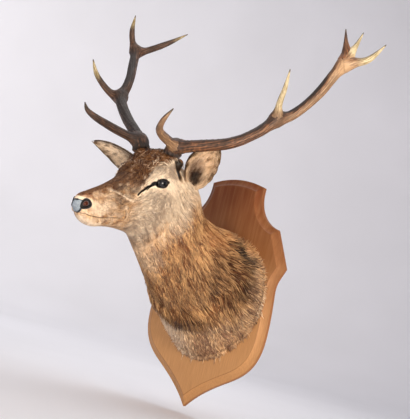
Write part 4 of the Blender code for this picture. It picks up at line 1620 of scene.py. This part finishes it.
@dataclass
class Antler:
    """One antler: its beam and tines as (x, y, z, radius) knots."""

    side: Side
    beam: Knots
    # each tine, with how far up it its stain wears off
    tines: dict[str, tuple[Knots, float]]
    # how pale the bone is from half way up the beam
    bleached: float
    sides: int = 60
    pitch: float = 0.0026
    burr: float = 0.0034
    # tines run into the beam over this distance
    web: float = 0.028

    def gap(self, points: Array, knots: Knots) -> Array:
        """Return the distance of points from the surface of a limb."""
        return line_distance(points, catmull(knots, np.linspace(0, len(knots) - 1, 60)), np.subtract)

    def limb(self, knots: Knots, worn: float | None, seed: int, others: list[Knots]) -> dict[str, Array]:
        """Shape a beam or tine.

        Args:
            knots: Its centre line and radii.
            worn: How far up its stain wears off, or None for the beam, with a burr at its foot.
            seed: Which pattern of ribs.
            others: The limbs that this one grows together with.

        Returns:
            Its vertices, faces and masks.
        """
        is_beam = worn is None
        fine = catmull(knots, np.linspace(0, len(knots) - 1, 400))
        run = run_of(fine[:, :3])
        count = int(run[-1] / self.pitch) + 4
        s = np.linspace(0, run[-1], count)
        at = read_line(s, run, fine)
        radius = at[:, 3].copy()
        if is_beam:
            radius += self.burr * bell(s - 0.004, 0.0065)
        else:
            radius *= 1 + 0.12 * bell(s, 0.016)
        tip = s / run[-1]
        rings, out, angle = tube(at[:, :3], radius, self.sides)
        near = np.clip(1 - np.min([self.gap(rings, one) for one in others], axis=0) / self.web, 0, 1)
        rings = rings + out * (0.32 * self.web * near**2)[..., None]
        # ribs wind round the limb, pearls and a knobbly burr stand at its foot
        turn_by = angle[None] + 0.9 * s[:, None] / 0.2
        rough = np.ones((count, 1)) if is_beam else ease(1.0, 0.45, tip)[:, None]
        wave = np.zeros(rings.shape[:2])
        rng = np.random.default_rng(seed)
        for ribs, size in ((5, 0.4), (11, 0.9), (17, 0.9), (23, 0.6)):
            slow = ripple(np.stack([s / 0.045, 0 * s], -1), 2.0, seed + ribs)[:, None]
            wave += size * np.sin(ribs * turn_by + 1.6 * slow + rng.uniform(0, 6.3))
        wave /= 1.7
        pearls = np.clip(ripple(rings, 0.0065, seed + 3, 9), 0, 1.2) ** 2
        low = np.exp(-s / 0.14)[:, None] if is_beam else 0.4 * np.exp(-s / 0.05)[:, None]
        knob = bell(s - 0.004, 0.006)[:, None] * is_beam
        thin = np.clip(radius / 0.012, 0.1, 1.2)[:, None]
        lift = thin * (0.00042 * wave * rough + 0.0008 * pearls * low)
        lift += knob * 0.0026 * np.sin(13 * angle[None] + 2 * ripple(rings, 0.02, seed + 4))
        rings = rings + out * lift[..., None]
        ridge = 0.32 + 0.18 * self.bleached + 0.16 * wave * rough + 0.2 * pearls * low - 0.25 * knob
        # painted shade: the side facing up and to the left is darkened (the upper mask), more on the far half
        # of a bleached beam, and the bleaching is kept to the lower side as painted light
        shade = out @ unit(np.array([-0.45, -0.1, 0.88])) + 0.12 * ripple(rings, 0.02, seed + 5)
        if is_beam:
            shade += 0.24 * self.bleached * (ease(0.45, 0.6, tip) * ease(0.96, 0.86, tip))[:, None]
        upper = ease(0.02, 0.42, shade) * (0.95 if is_beam else 0.8 - 0.2 * self.bleached)
        pale = is_beam or worn < 0.79
        bleach_and_light = self.bleached * (ease(0.35, 0.7, tip) if is_beam else np.full(count, float(pale)))
        crown = self.bleached * ease(0.085, 0.025, np.linalg.norm(rings - self.beam[-1][:3], axis=-1))
        bleach_and_light = bleach_and_light[:, None] * ease(0.25, -0.45, shade) + 0.45 * crown * pale
        # where limbs run together their colours do too
        upper = upper * (1 - 0.4 * crown)
        upper = upper * (1 - 0.75 * near)
        upper = upper * (1 - 0.45 * self.bleached * ease(0.5, 0.2, tip)[:, None] * is_beam)
        ridge = ridge + (0.36 + 0.46 * crown - ridge) * 0.8 * near
        # places on the limb as if it were straight, for the grain of the bone
        straight = np.stack([radius[:, None] * np.cos(turn_by), radius[:, None] * np.sin(turn_by),
                             0.15 * s[:, None] + 0.1 * seed + 0 * turn_by], -1)
        end, point = (np.zeros(count), np.zeros(count)) if is_beam else (
            ease(worn, worn + 0.45, tip), 0.85 * ease(0.93, 0.975, tip))
        ends = [at[0, :3], at[-1, :3] + unit(at[-1, :3] - at[-3, :3]) * 0.001]
        return {"verts": np.concatenate([rings.reshape(-1, 3), ends]),
                "faces": triangles(grid_faces(count, self.sides, True), fans(count, self.sides)),
                "ridge": np.r_[ridge.ravel(), 0.3, 0.6],
                "upper": np.r_[upper.ravel(), 0, 0], "bleach_and_light": np.r_[bleach_and_light.ravel(), 0, 0],
                "straight": np.concatenate([straight.reshape(-1, 3), straight[[0, -1], 0]]),
                "tip": np.r_[np.repeat(end, self.sides), end[0], end[-1]],
                "point": np.r_[np.repeat(point, self.sides), 0, point[-1]]}

    def build(self, bone: Material) -> None:
        """Make the antler as one piece.

        Args:
            bone: Its material.
        """
        shift = self.side.value
        limbs = [self.limb(self.beam, None, 200 + shift, [knots for knots, _ in self.tines.values()])]
        for n, (name, (knots, worn)) in enumerate(self.tines.items()):
            others = [other for key, (other, _) in self.tines.items() if key != name]
            limbs.append(self.limb(knots, worn, 210 + 7 * n + shift, [self.beam, *others]))
        offset = 0
        for limb in limbs:
            limb["faces"] = limb["faces"] + offset
            offset += len(limb["verts"])
        whole = {key: np.concatenate([limb[key] for limb in limbs]) for key in limbs[0]}
        item = make_mesh("antler_" + self.side.word, whole["verts"], whole["faces"])
        paint(item, {key: whole[key] for key in ("ridge", "upper", "tip", "point", "bleach_and_light")})
        lie = item.data.attributes.new("straight", "FLOAT_VECTOR", "POINT")
        lie.data.foreach_set("vector", whole["straight"].astype(np.float32).ravel())
        item.data.materials.append(bone)
        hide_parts(*[f"antler_{self.side.word}_{n}" for n in ("lower_beam", "upper_beam", *self.tines)])
        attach(item, "root")
        LOG.info("%s: %d triangles", item.name, len(item.data.polygons))


ANTLERS = (
    Antler(
        Side.LEFT,
        ((0.034, -0.34, 0.08, 0.019), (0.044, -0.342, 0.1, 0.0175), (0.088, -0.325, 0.112, 0.0162),
         (0.17, -0.275, 0.14, 0.015), (0.207, -0.225, 0.185, 0.0142), (0.229, -0.178, 0.239, 0.016),
         (0.252, -0.152, 0.263, 0.0142), (0.277, -0.132, 0.299, 0.0132), (0.304, -0.118, 0.344, 0.0142),
         (0.327, -0.108, 0.393, 0.0148), (0.35, -0.1, 0.435, 0.015)),
        {"brow": (((0.044, -0.342, 0.103, 0.013), (0.068, -0.41, 0.107, 0.0122),
                   (0.105, -0.468, 0.109, 0.0098), (0.136, -0.497, 0.118, 0.0078),
                   (0.153, -0.503, 0.135, 0.0058), (0.166, -0.497, 0.159, 0.0014)), 0.78),
         "trez": (((0.228, -0.18, 0.243, 0.0115), (0.25, -0.207, 0.28, 0.0084), (0.28, -0.235, 0.312, 0.0062),
                   (0.305, -0.262, 0.353, 0.0014)), 0.0),
         "crown_front": (((0.349, -0.1, 0.432, 0.011), (0.346, -0.105, 0.468, 0.0086),
                          (0.345, -0.125, 0.521, 0.0014)), 0.8),
         "crown_middle": (((0.351, -0.1, 0.434, 0.0105), (0.359, -0.092, 0.466, 0.0084),
                           (0.368, -0.075, 0.531, 0.0014)), 0.02),
         "crown_rear": (((0.35, -0.102, 0.428, 0.012), (0.372, -0.09, 0.437, 0.0112),
                         (0.401, -0.066, 0.458, 0.0088), (0.425, -0.04, 0.508, 0.0014)), 0.12)},
        0.8),
    Antler(
        Side.RIGHT,
        ((-0.066, -0.362, 0.082, 0.0188), (-0.08, -0.362, 0.105, 0.0172), (-0.129, -0.352, 0.139, 0.0162),
         (-0.192, -0.335, 0.177, 0.016), (-0.263, -0.312, 0.228, 0.016), (-0.304, -0.29, 0.264, 0.0168),
         (-0.315, -0.27, 0.301, 0.0146), (-0.339, -0.247, 0.344, 0.0138), (-0.383, -0.215, 0.405, 0.0142),
         (-0.414, -0.192, 0.453, 0.0135)),
        {"brow": (((-0.08, -0.362, 0.105, 0.0132), (-0.096, -0.425, 0.111, 0.0118),
                   (-0.102, -0.475, 0.117, 0.011), (-0.103, -0.52, 0.123, 0.0092),
                   (-0.107, -0.547, 0.133, 0.0062), (-0.114, -0.556, 0.151, 0.0014)), 0.8),
         "trez": (((-0.302, -0.294, 0.258, 0.0125), (-0.322, -0.318, 0.263, 0.0104),
                   (-0.338, -0.35, 0.285, 0.0086), (-0.341, -0.378, 0.307, 0.0068),
                   (-0.334, -0.406, 0.337, 0.0014)), 0.42),
         "crown_front": (((-0.413, -0.192, 0.45, 0.012), (-0.431, -0.2, 0.478, 0.0094),
                          (-0.431, -0.216, 0.515, 0.008), (-0.409, -0.236, 0.556, 0.0014)), 0.5),
         "crown_rear": (((-0.411, -0.191, 0.45, 0.012), (-0.396, -0.167, 0.463, 0.0104),
                         (-0.352, -0.128, 0.502, 0.0086), (-0.318, -0.08, 0.554, 0.0014)), 0.55)},
        0.12))


def arc(centre: Spot, start: Spot, end: Spot, steps: int) -> Array:
    """Set points on an arc.

    Args:
        centre: Its centre.
        start: Where it starts.
        end: What it turns to.
        steps: How many points.

    Returns:
        The points.
    """
    a, b = (math.atan2(p[1] - centre[1], p[0] - centre[0]) % (2 * math.pi) for p in (start, end))
    r = math.hypot(start[0] - centre[0], start[1] - centre[1])
    angle = np.linspace(a, b, steps)
    return np.stack([centre[0] + r * np.cos(angle), centre[1] + r * np.sin(angle)], -1)


def curve(*corners: Spot) -> Array:
    """Set 40 points on a Bezier curve.

    Args:
        corners: Its ends, with the two corners that bend it between them.

    Returns:
        The points.
    """
    t = np.linspace(0, 1, 40)[:, None]
    a, b, c, d = np.array(corners)
    return (1 - t) ** 3 * a + 3 * t * (1 - t) ** 2 * b + 3 * t**2 * (1 - t) * c + t**3 * d


@dataclass
class Shield:
    """The wall shield, cut from thick plank with a moulded edge."""

    top_z: float = 0.102
    top_corner: Spot = (0.103, 0.085)
    hollow: Spot = (0.206, 0.07)
    shoulder: Spot = (0.191, -0.035)
    # the lower edge: ends of its curves, with the two corners that bend each between them
    lower: tuple[Spot, ...] = (
        (0.247, -0.138), (0.232, -0.172), (0.222, -0.18), (0.226, -0.215), (0.23, -0.25), (0.234, -0.285),
        (0.234, -0.325), (0.236, -0.41), (0.205, -0.447), (0.143, -0.482), (0.075, -0.52), (0.035, -0.548),
        (0, -0.587))
    # the edge's section: distance in from the outline, height above the back, and how much of the darker side
    # colour shows
    section: tuple[tuple[float, float, float], ...] = (
        (0.0008, 0, 0.75), (0, 0.0008, 0.75), (0, 0.0104, 0.75), (0.0005, 0.0114, 0.35),
        (0.0014, 0.0119, 0.35), (0.0026, 0.0122, 0.12), (0.0065, 0.0131, 0.12), (0.0115, 0.0149, 0.12),
        (0.016, 0.0173, 0.12), (0.019, 0.0198, 0.12), (0.0206, 0.0216, 0.1), (0.0214, 0.0213, 0.7),
        (0.0222, 0.0214, 0.5), (0.023, 0.02195, 0), (0.024, 0.022, 0))
    pitch: float = 0.004
    sharp: float = 38.0

    def runs(self) -> list[Array]:
        """Draw the outline.

        Returns:
            Its smooth runs, clockwise from the top, as (x, z) points.
        """
        rise = self.top_z - self.top_corner[1]
        radius = (self.top_corner[0] ** 2 + rise**2) / (2 * rise)
        left_top = (-self.top_corner[0], self.top_corner[1])
        top = arc((0.0, self.top_z - radius), left_top, self.top_corner, 80)
        hollow = arc(self.hollow, (self.top_corner[0], self.hollow[1]), self.shoulder, 60)
        curves = [curve(*self.lower[n:n + 4]) for n in range(0, len(self.lower) - 1, 3)]
        right = [np.vstack([self.top_corner, hollow]), np.linspace(self.shoulder, self.lower[0], 30),
                 np.vstack([curves[0], *[one[1:] for one in curves[1:]]])]
        return [top, *right, *[run[::-1] * [-1, 1] for run in right[::-1]]]

    def mitre(self, a: Array, b: Array) -> tuple[Array, Array]:
        """Cut two runs off where they cross.

        Args:
            a: The points of the first.
            b: The points of the next.

        Returns:
            Both, up to the place where they cross.
        """
        p, r = a[:-1, None], (a[1:] - a[:-1])[:, None]
        q, s = b[None, :-1], (b[1:] - b[:-1])[None]
        cross = r[..., 0] * s[..., 1] - r[..., 1] * s[..., 0]
        d = q - p
        cross = np.where(np.abs(cross) < 1e-15, 1e-15, cross)
        t = (d[..., 0] * s[..., 1] - d[..., 1] * s[..., 0]) / cross
        v = (d[..., 0] * r[..., 1] - d[..., 1] * r[..., 0]) / cross
        hit = np.argwhere((t >= 0) & (t <= 1) & (v >= 0) & (v <= 1))
        if not len(hit):
            return a, b
        i, j = max(hit.tolist(), key=lambda x: x[0] - x[1])
        spot = a[i] + (a[i + 1] - a[i]) * t[i, j]
        return np.vstack([a[:i + 1], spot]), np.vstack([spot, b[j + 1:]])

    def inset(self, runs: list[Array], by: float, counts: list[int]) -> Array:
        """Move the outline inwards, mitred at its corners.

        Args:
            runs: The smooth runs.
            by: How far.
            counts: Points wanted on each run.

        Returns:
            The (x, z) points of the whole outline.
        """
        moved = []
        for line in runs:
            way = unit(np.gradient(line, axis=0))
            moved.append(line + np.stack([way[:, 1], -way[:, 0]], -1) * by)
        if by > 0:
            for n in range(len(moved)):
                moved[n - 1], moved[n] = self.mitre(moved[n - 1], moved[n])
        rows = []
        for line, count in zip(moved, counts):
            run = run_of(line)
            rows.append(read_line(np.linspace(0, run[-1], count, endpoint=False), run, line))
        return np.vstack(rows)

    def build(self) -> None:
        """Make the shield."""
        runs = self.runs()
        counts = [max(8, int(run_of(line)[-1] / self.pitch)) for line in runs]
        rows = []
        for inward, height, _ in self.section:
            x, z = self.inset(runs, inward, counts).T
            rows.append(np.stack([x, np.full(len(x), -height), z], -1))
        rows = np.array(rows)
        count, around = rows.shape[:2]
        mesh = bpy.data.meshes.new("shield")
        faces = grid_faces(count, around, True).tolist()
        faces += [list(range(around))[::-1], list(range((count - 1) * around, count * around))]
        mesh.from_pydata(rows.reshape(-1, 3).tolist(), [], faces)
        mesh.validate()
        item = link("shield", mesh)
        paint(item, {"edge": np.repeat([side_share for _, _, side_share in self.section], around)})
        mesh.polygons.foreach_set("use_smooth", [True] * (len(mesh.polygons) - 2) + [False, False])
        mesh.set_sharp_from_angle(angle=math.radians(self.sharp))
        item.data.materials.append(VarnishedBeech().build())
        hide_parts("board")
        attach(item, "root")
        LOG.info("shield: %d faces", len(mesh.polygons))


@dataclass(frozen=True)
class Lamp:
    """A soft square lamp: where it hangs, what it points at, its width, watts, colour and spread."""

    name: str
    at: Place
    aim: Place
    size: float
    power: float
    colour: str = "#FFFFFF"
    spread: float = 180.0

    def build(self) -> None:
        """Hang the lamp."""
        light = bpy.data.lights.new(self.name, "AREA")
        light.shape = "SQUARE"
        light.size, light.energy = self.size, self.power
        light.color = linear(self.colour)[:3]
        light.spread = math.radians(self.spread)
        item = link(self.name, light)
        item.location = self.at
        item.rotation_euler = (Vector(self.aim) - Vector(self.at)).to_track_quat("-Z", "Y").to_euler()
        item.visible_camera = False


@dataclass
class Studio:
    """Pale seamless floor running up into a round wall, soft lights and the camera."""

    floor_z: float = -0.607
    radius: float = 5.5
    curve: float = 2.2
    height: float = 6.0
    sides: int = 96
    lamps: tuple[Lamp, ...] = (
        Lamp("key", (2.9, -0.95, -0.25), (-0.02, -0.25, -0.1), 1.4, 38, "#FFF3E2", 100),
        Lamp("fill", (0.7, -3, -0.1), (-0.02, -0.25, -0.1), 1.3, 32, "#FFF3E2"),
        Lamp("top", (0, -0.9, 3.2), (-0.02, -0.25, -0.1), 2, 8),
        Lamp("wall_wash", (-2.4, 0.3, 2.6), (-5.2, 2.2, 0), 1.5, 50),
        Lamp("floor_wash", (-0.4, 0.5, 1.3), (-0.3, 0.3, -0.6), 2.2, 8.5, "#FFFFFF", 130))
    sky: str = "#F1F0F6"
    sky_power: float = 0.5
    target: Place = (-0.12154, 0, 0)
    towards: Place = (0.6903, -0.7137, -0.119)
    distance: float = 2.714
    swing: float = 44.048
    roll: float = 14.341
    lens: float = 75.1

    def floor(self) -> None:
        """Make the floor and wall as one turned sheet."""
        n = self.sides
        flat = np.linspace(0.05, self.radius - self.curve, 12)
        bend = np.linspace(0, math.pi / 2, 25)[1:]
        r = np.r_[flat, self.radius - self.curve + self.curve * np.sin(bend), self.radius]
        z = np.r_[0 * flat, self.curve * (1 - np.cos(bend)), self.height] + self.floor_z
        angle = np.linspace(0, 2 * math.pi, n, endpoint=False)
        verts = np.stack([r[:, None] * np.cos(angle), r[:, None] * np.sin(angle),
                          z[:, None] + 0 * angle], -1).reshape(-1, 3)
        item = make_mesh("floor", np.vstack([verts, [[0, 0, self.floor_z]]]),
                         triangles(grid_faces(len(r), n, True), fans(len(r), n)[:n]))
        item.data.materials.append(BackdropPaper().build())

    def camera(self) -> None:
        """Set the camera up."""
        lens = bpy.data.cameras.new("camera")
        lens.lens, lens.sensor_width, lens.clip_end = self.lens, 36.0, 60.0
        back = Vector(self.towards).normalized()
        swing, roll = math.radians(self.swing), math.radians(self.roll)
        level = Vector((math.cos(swing), math.sin(swing), 0.0))
        upright = back.cross(level)
        right = level * math.cos(roll) + upright * math.sin(roll)
        above = upright * math.cos(roll) - level * math.sin(roll)
        pose = Matrix((right, above, back)).transposed().to_4x4()
        pose.translation = Vector(self.target) + back * self.distance
        item = link("camera", lens)
        item.matrix_world = pose
        bpy.context.scene.camera = item

    def build(self) -> None:
        """Make floor, lights, sky and camera."""
        self.floor()
        for lamp in self.lamps:
            lamp.build()
        world = bpy.data.worlds.new("sky")
        world.use_nodes = True
        sky = world.node_tree.nodes["Background"].inputs
        sky["Color"].default_value = linear(self.sky)
        sky["Strength"].default_value = self.sky_power
        bpy.context.scene.world = world
        self.camera()
        bpy.context.scene.view_settings.view_transform = "Standard"


def main() -> None:
    """Load the frame and make every piece in order."""
    logging.basicConfig(level=logging.INFO, format="%(message)s")
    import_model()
    head = Head()
    Shield().build()
    head.build()
    Eyes(head.hide.eye).build()
    bone = AntlerBone().build()
    for antler in ANTLERS:
        antler.build(bone)
    Studio().build()


if __name__ == "__main__":
    main()
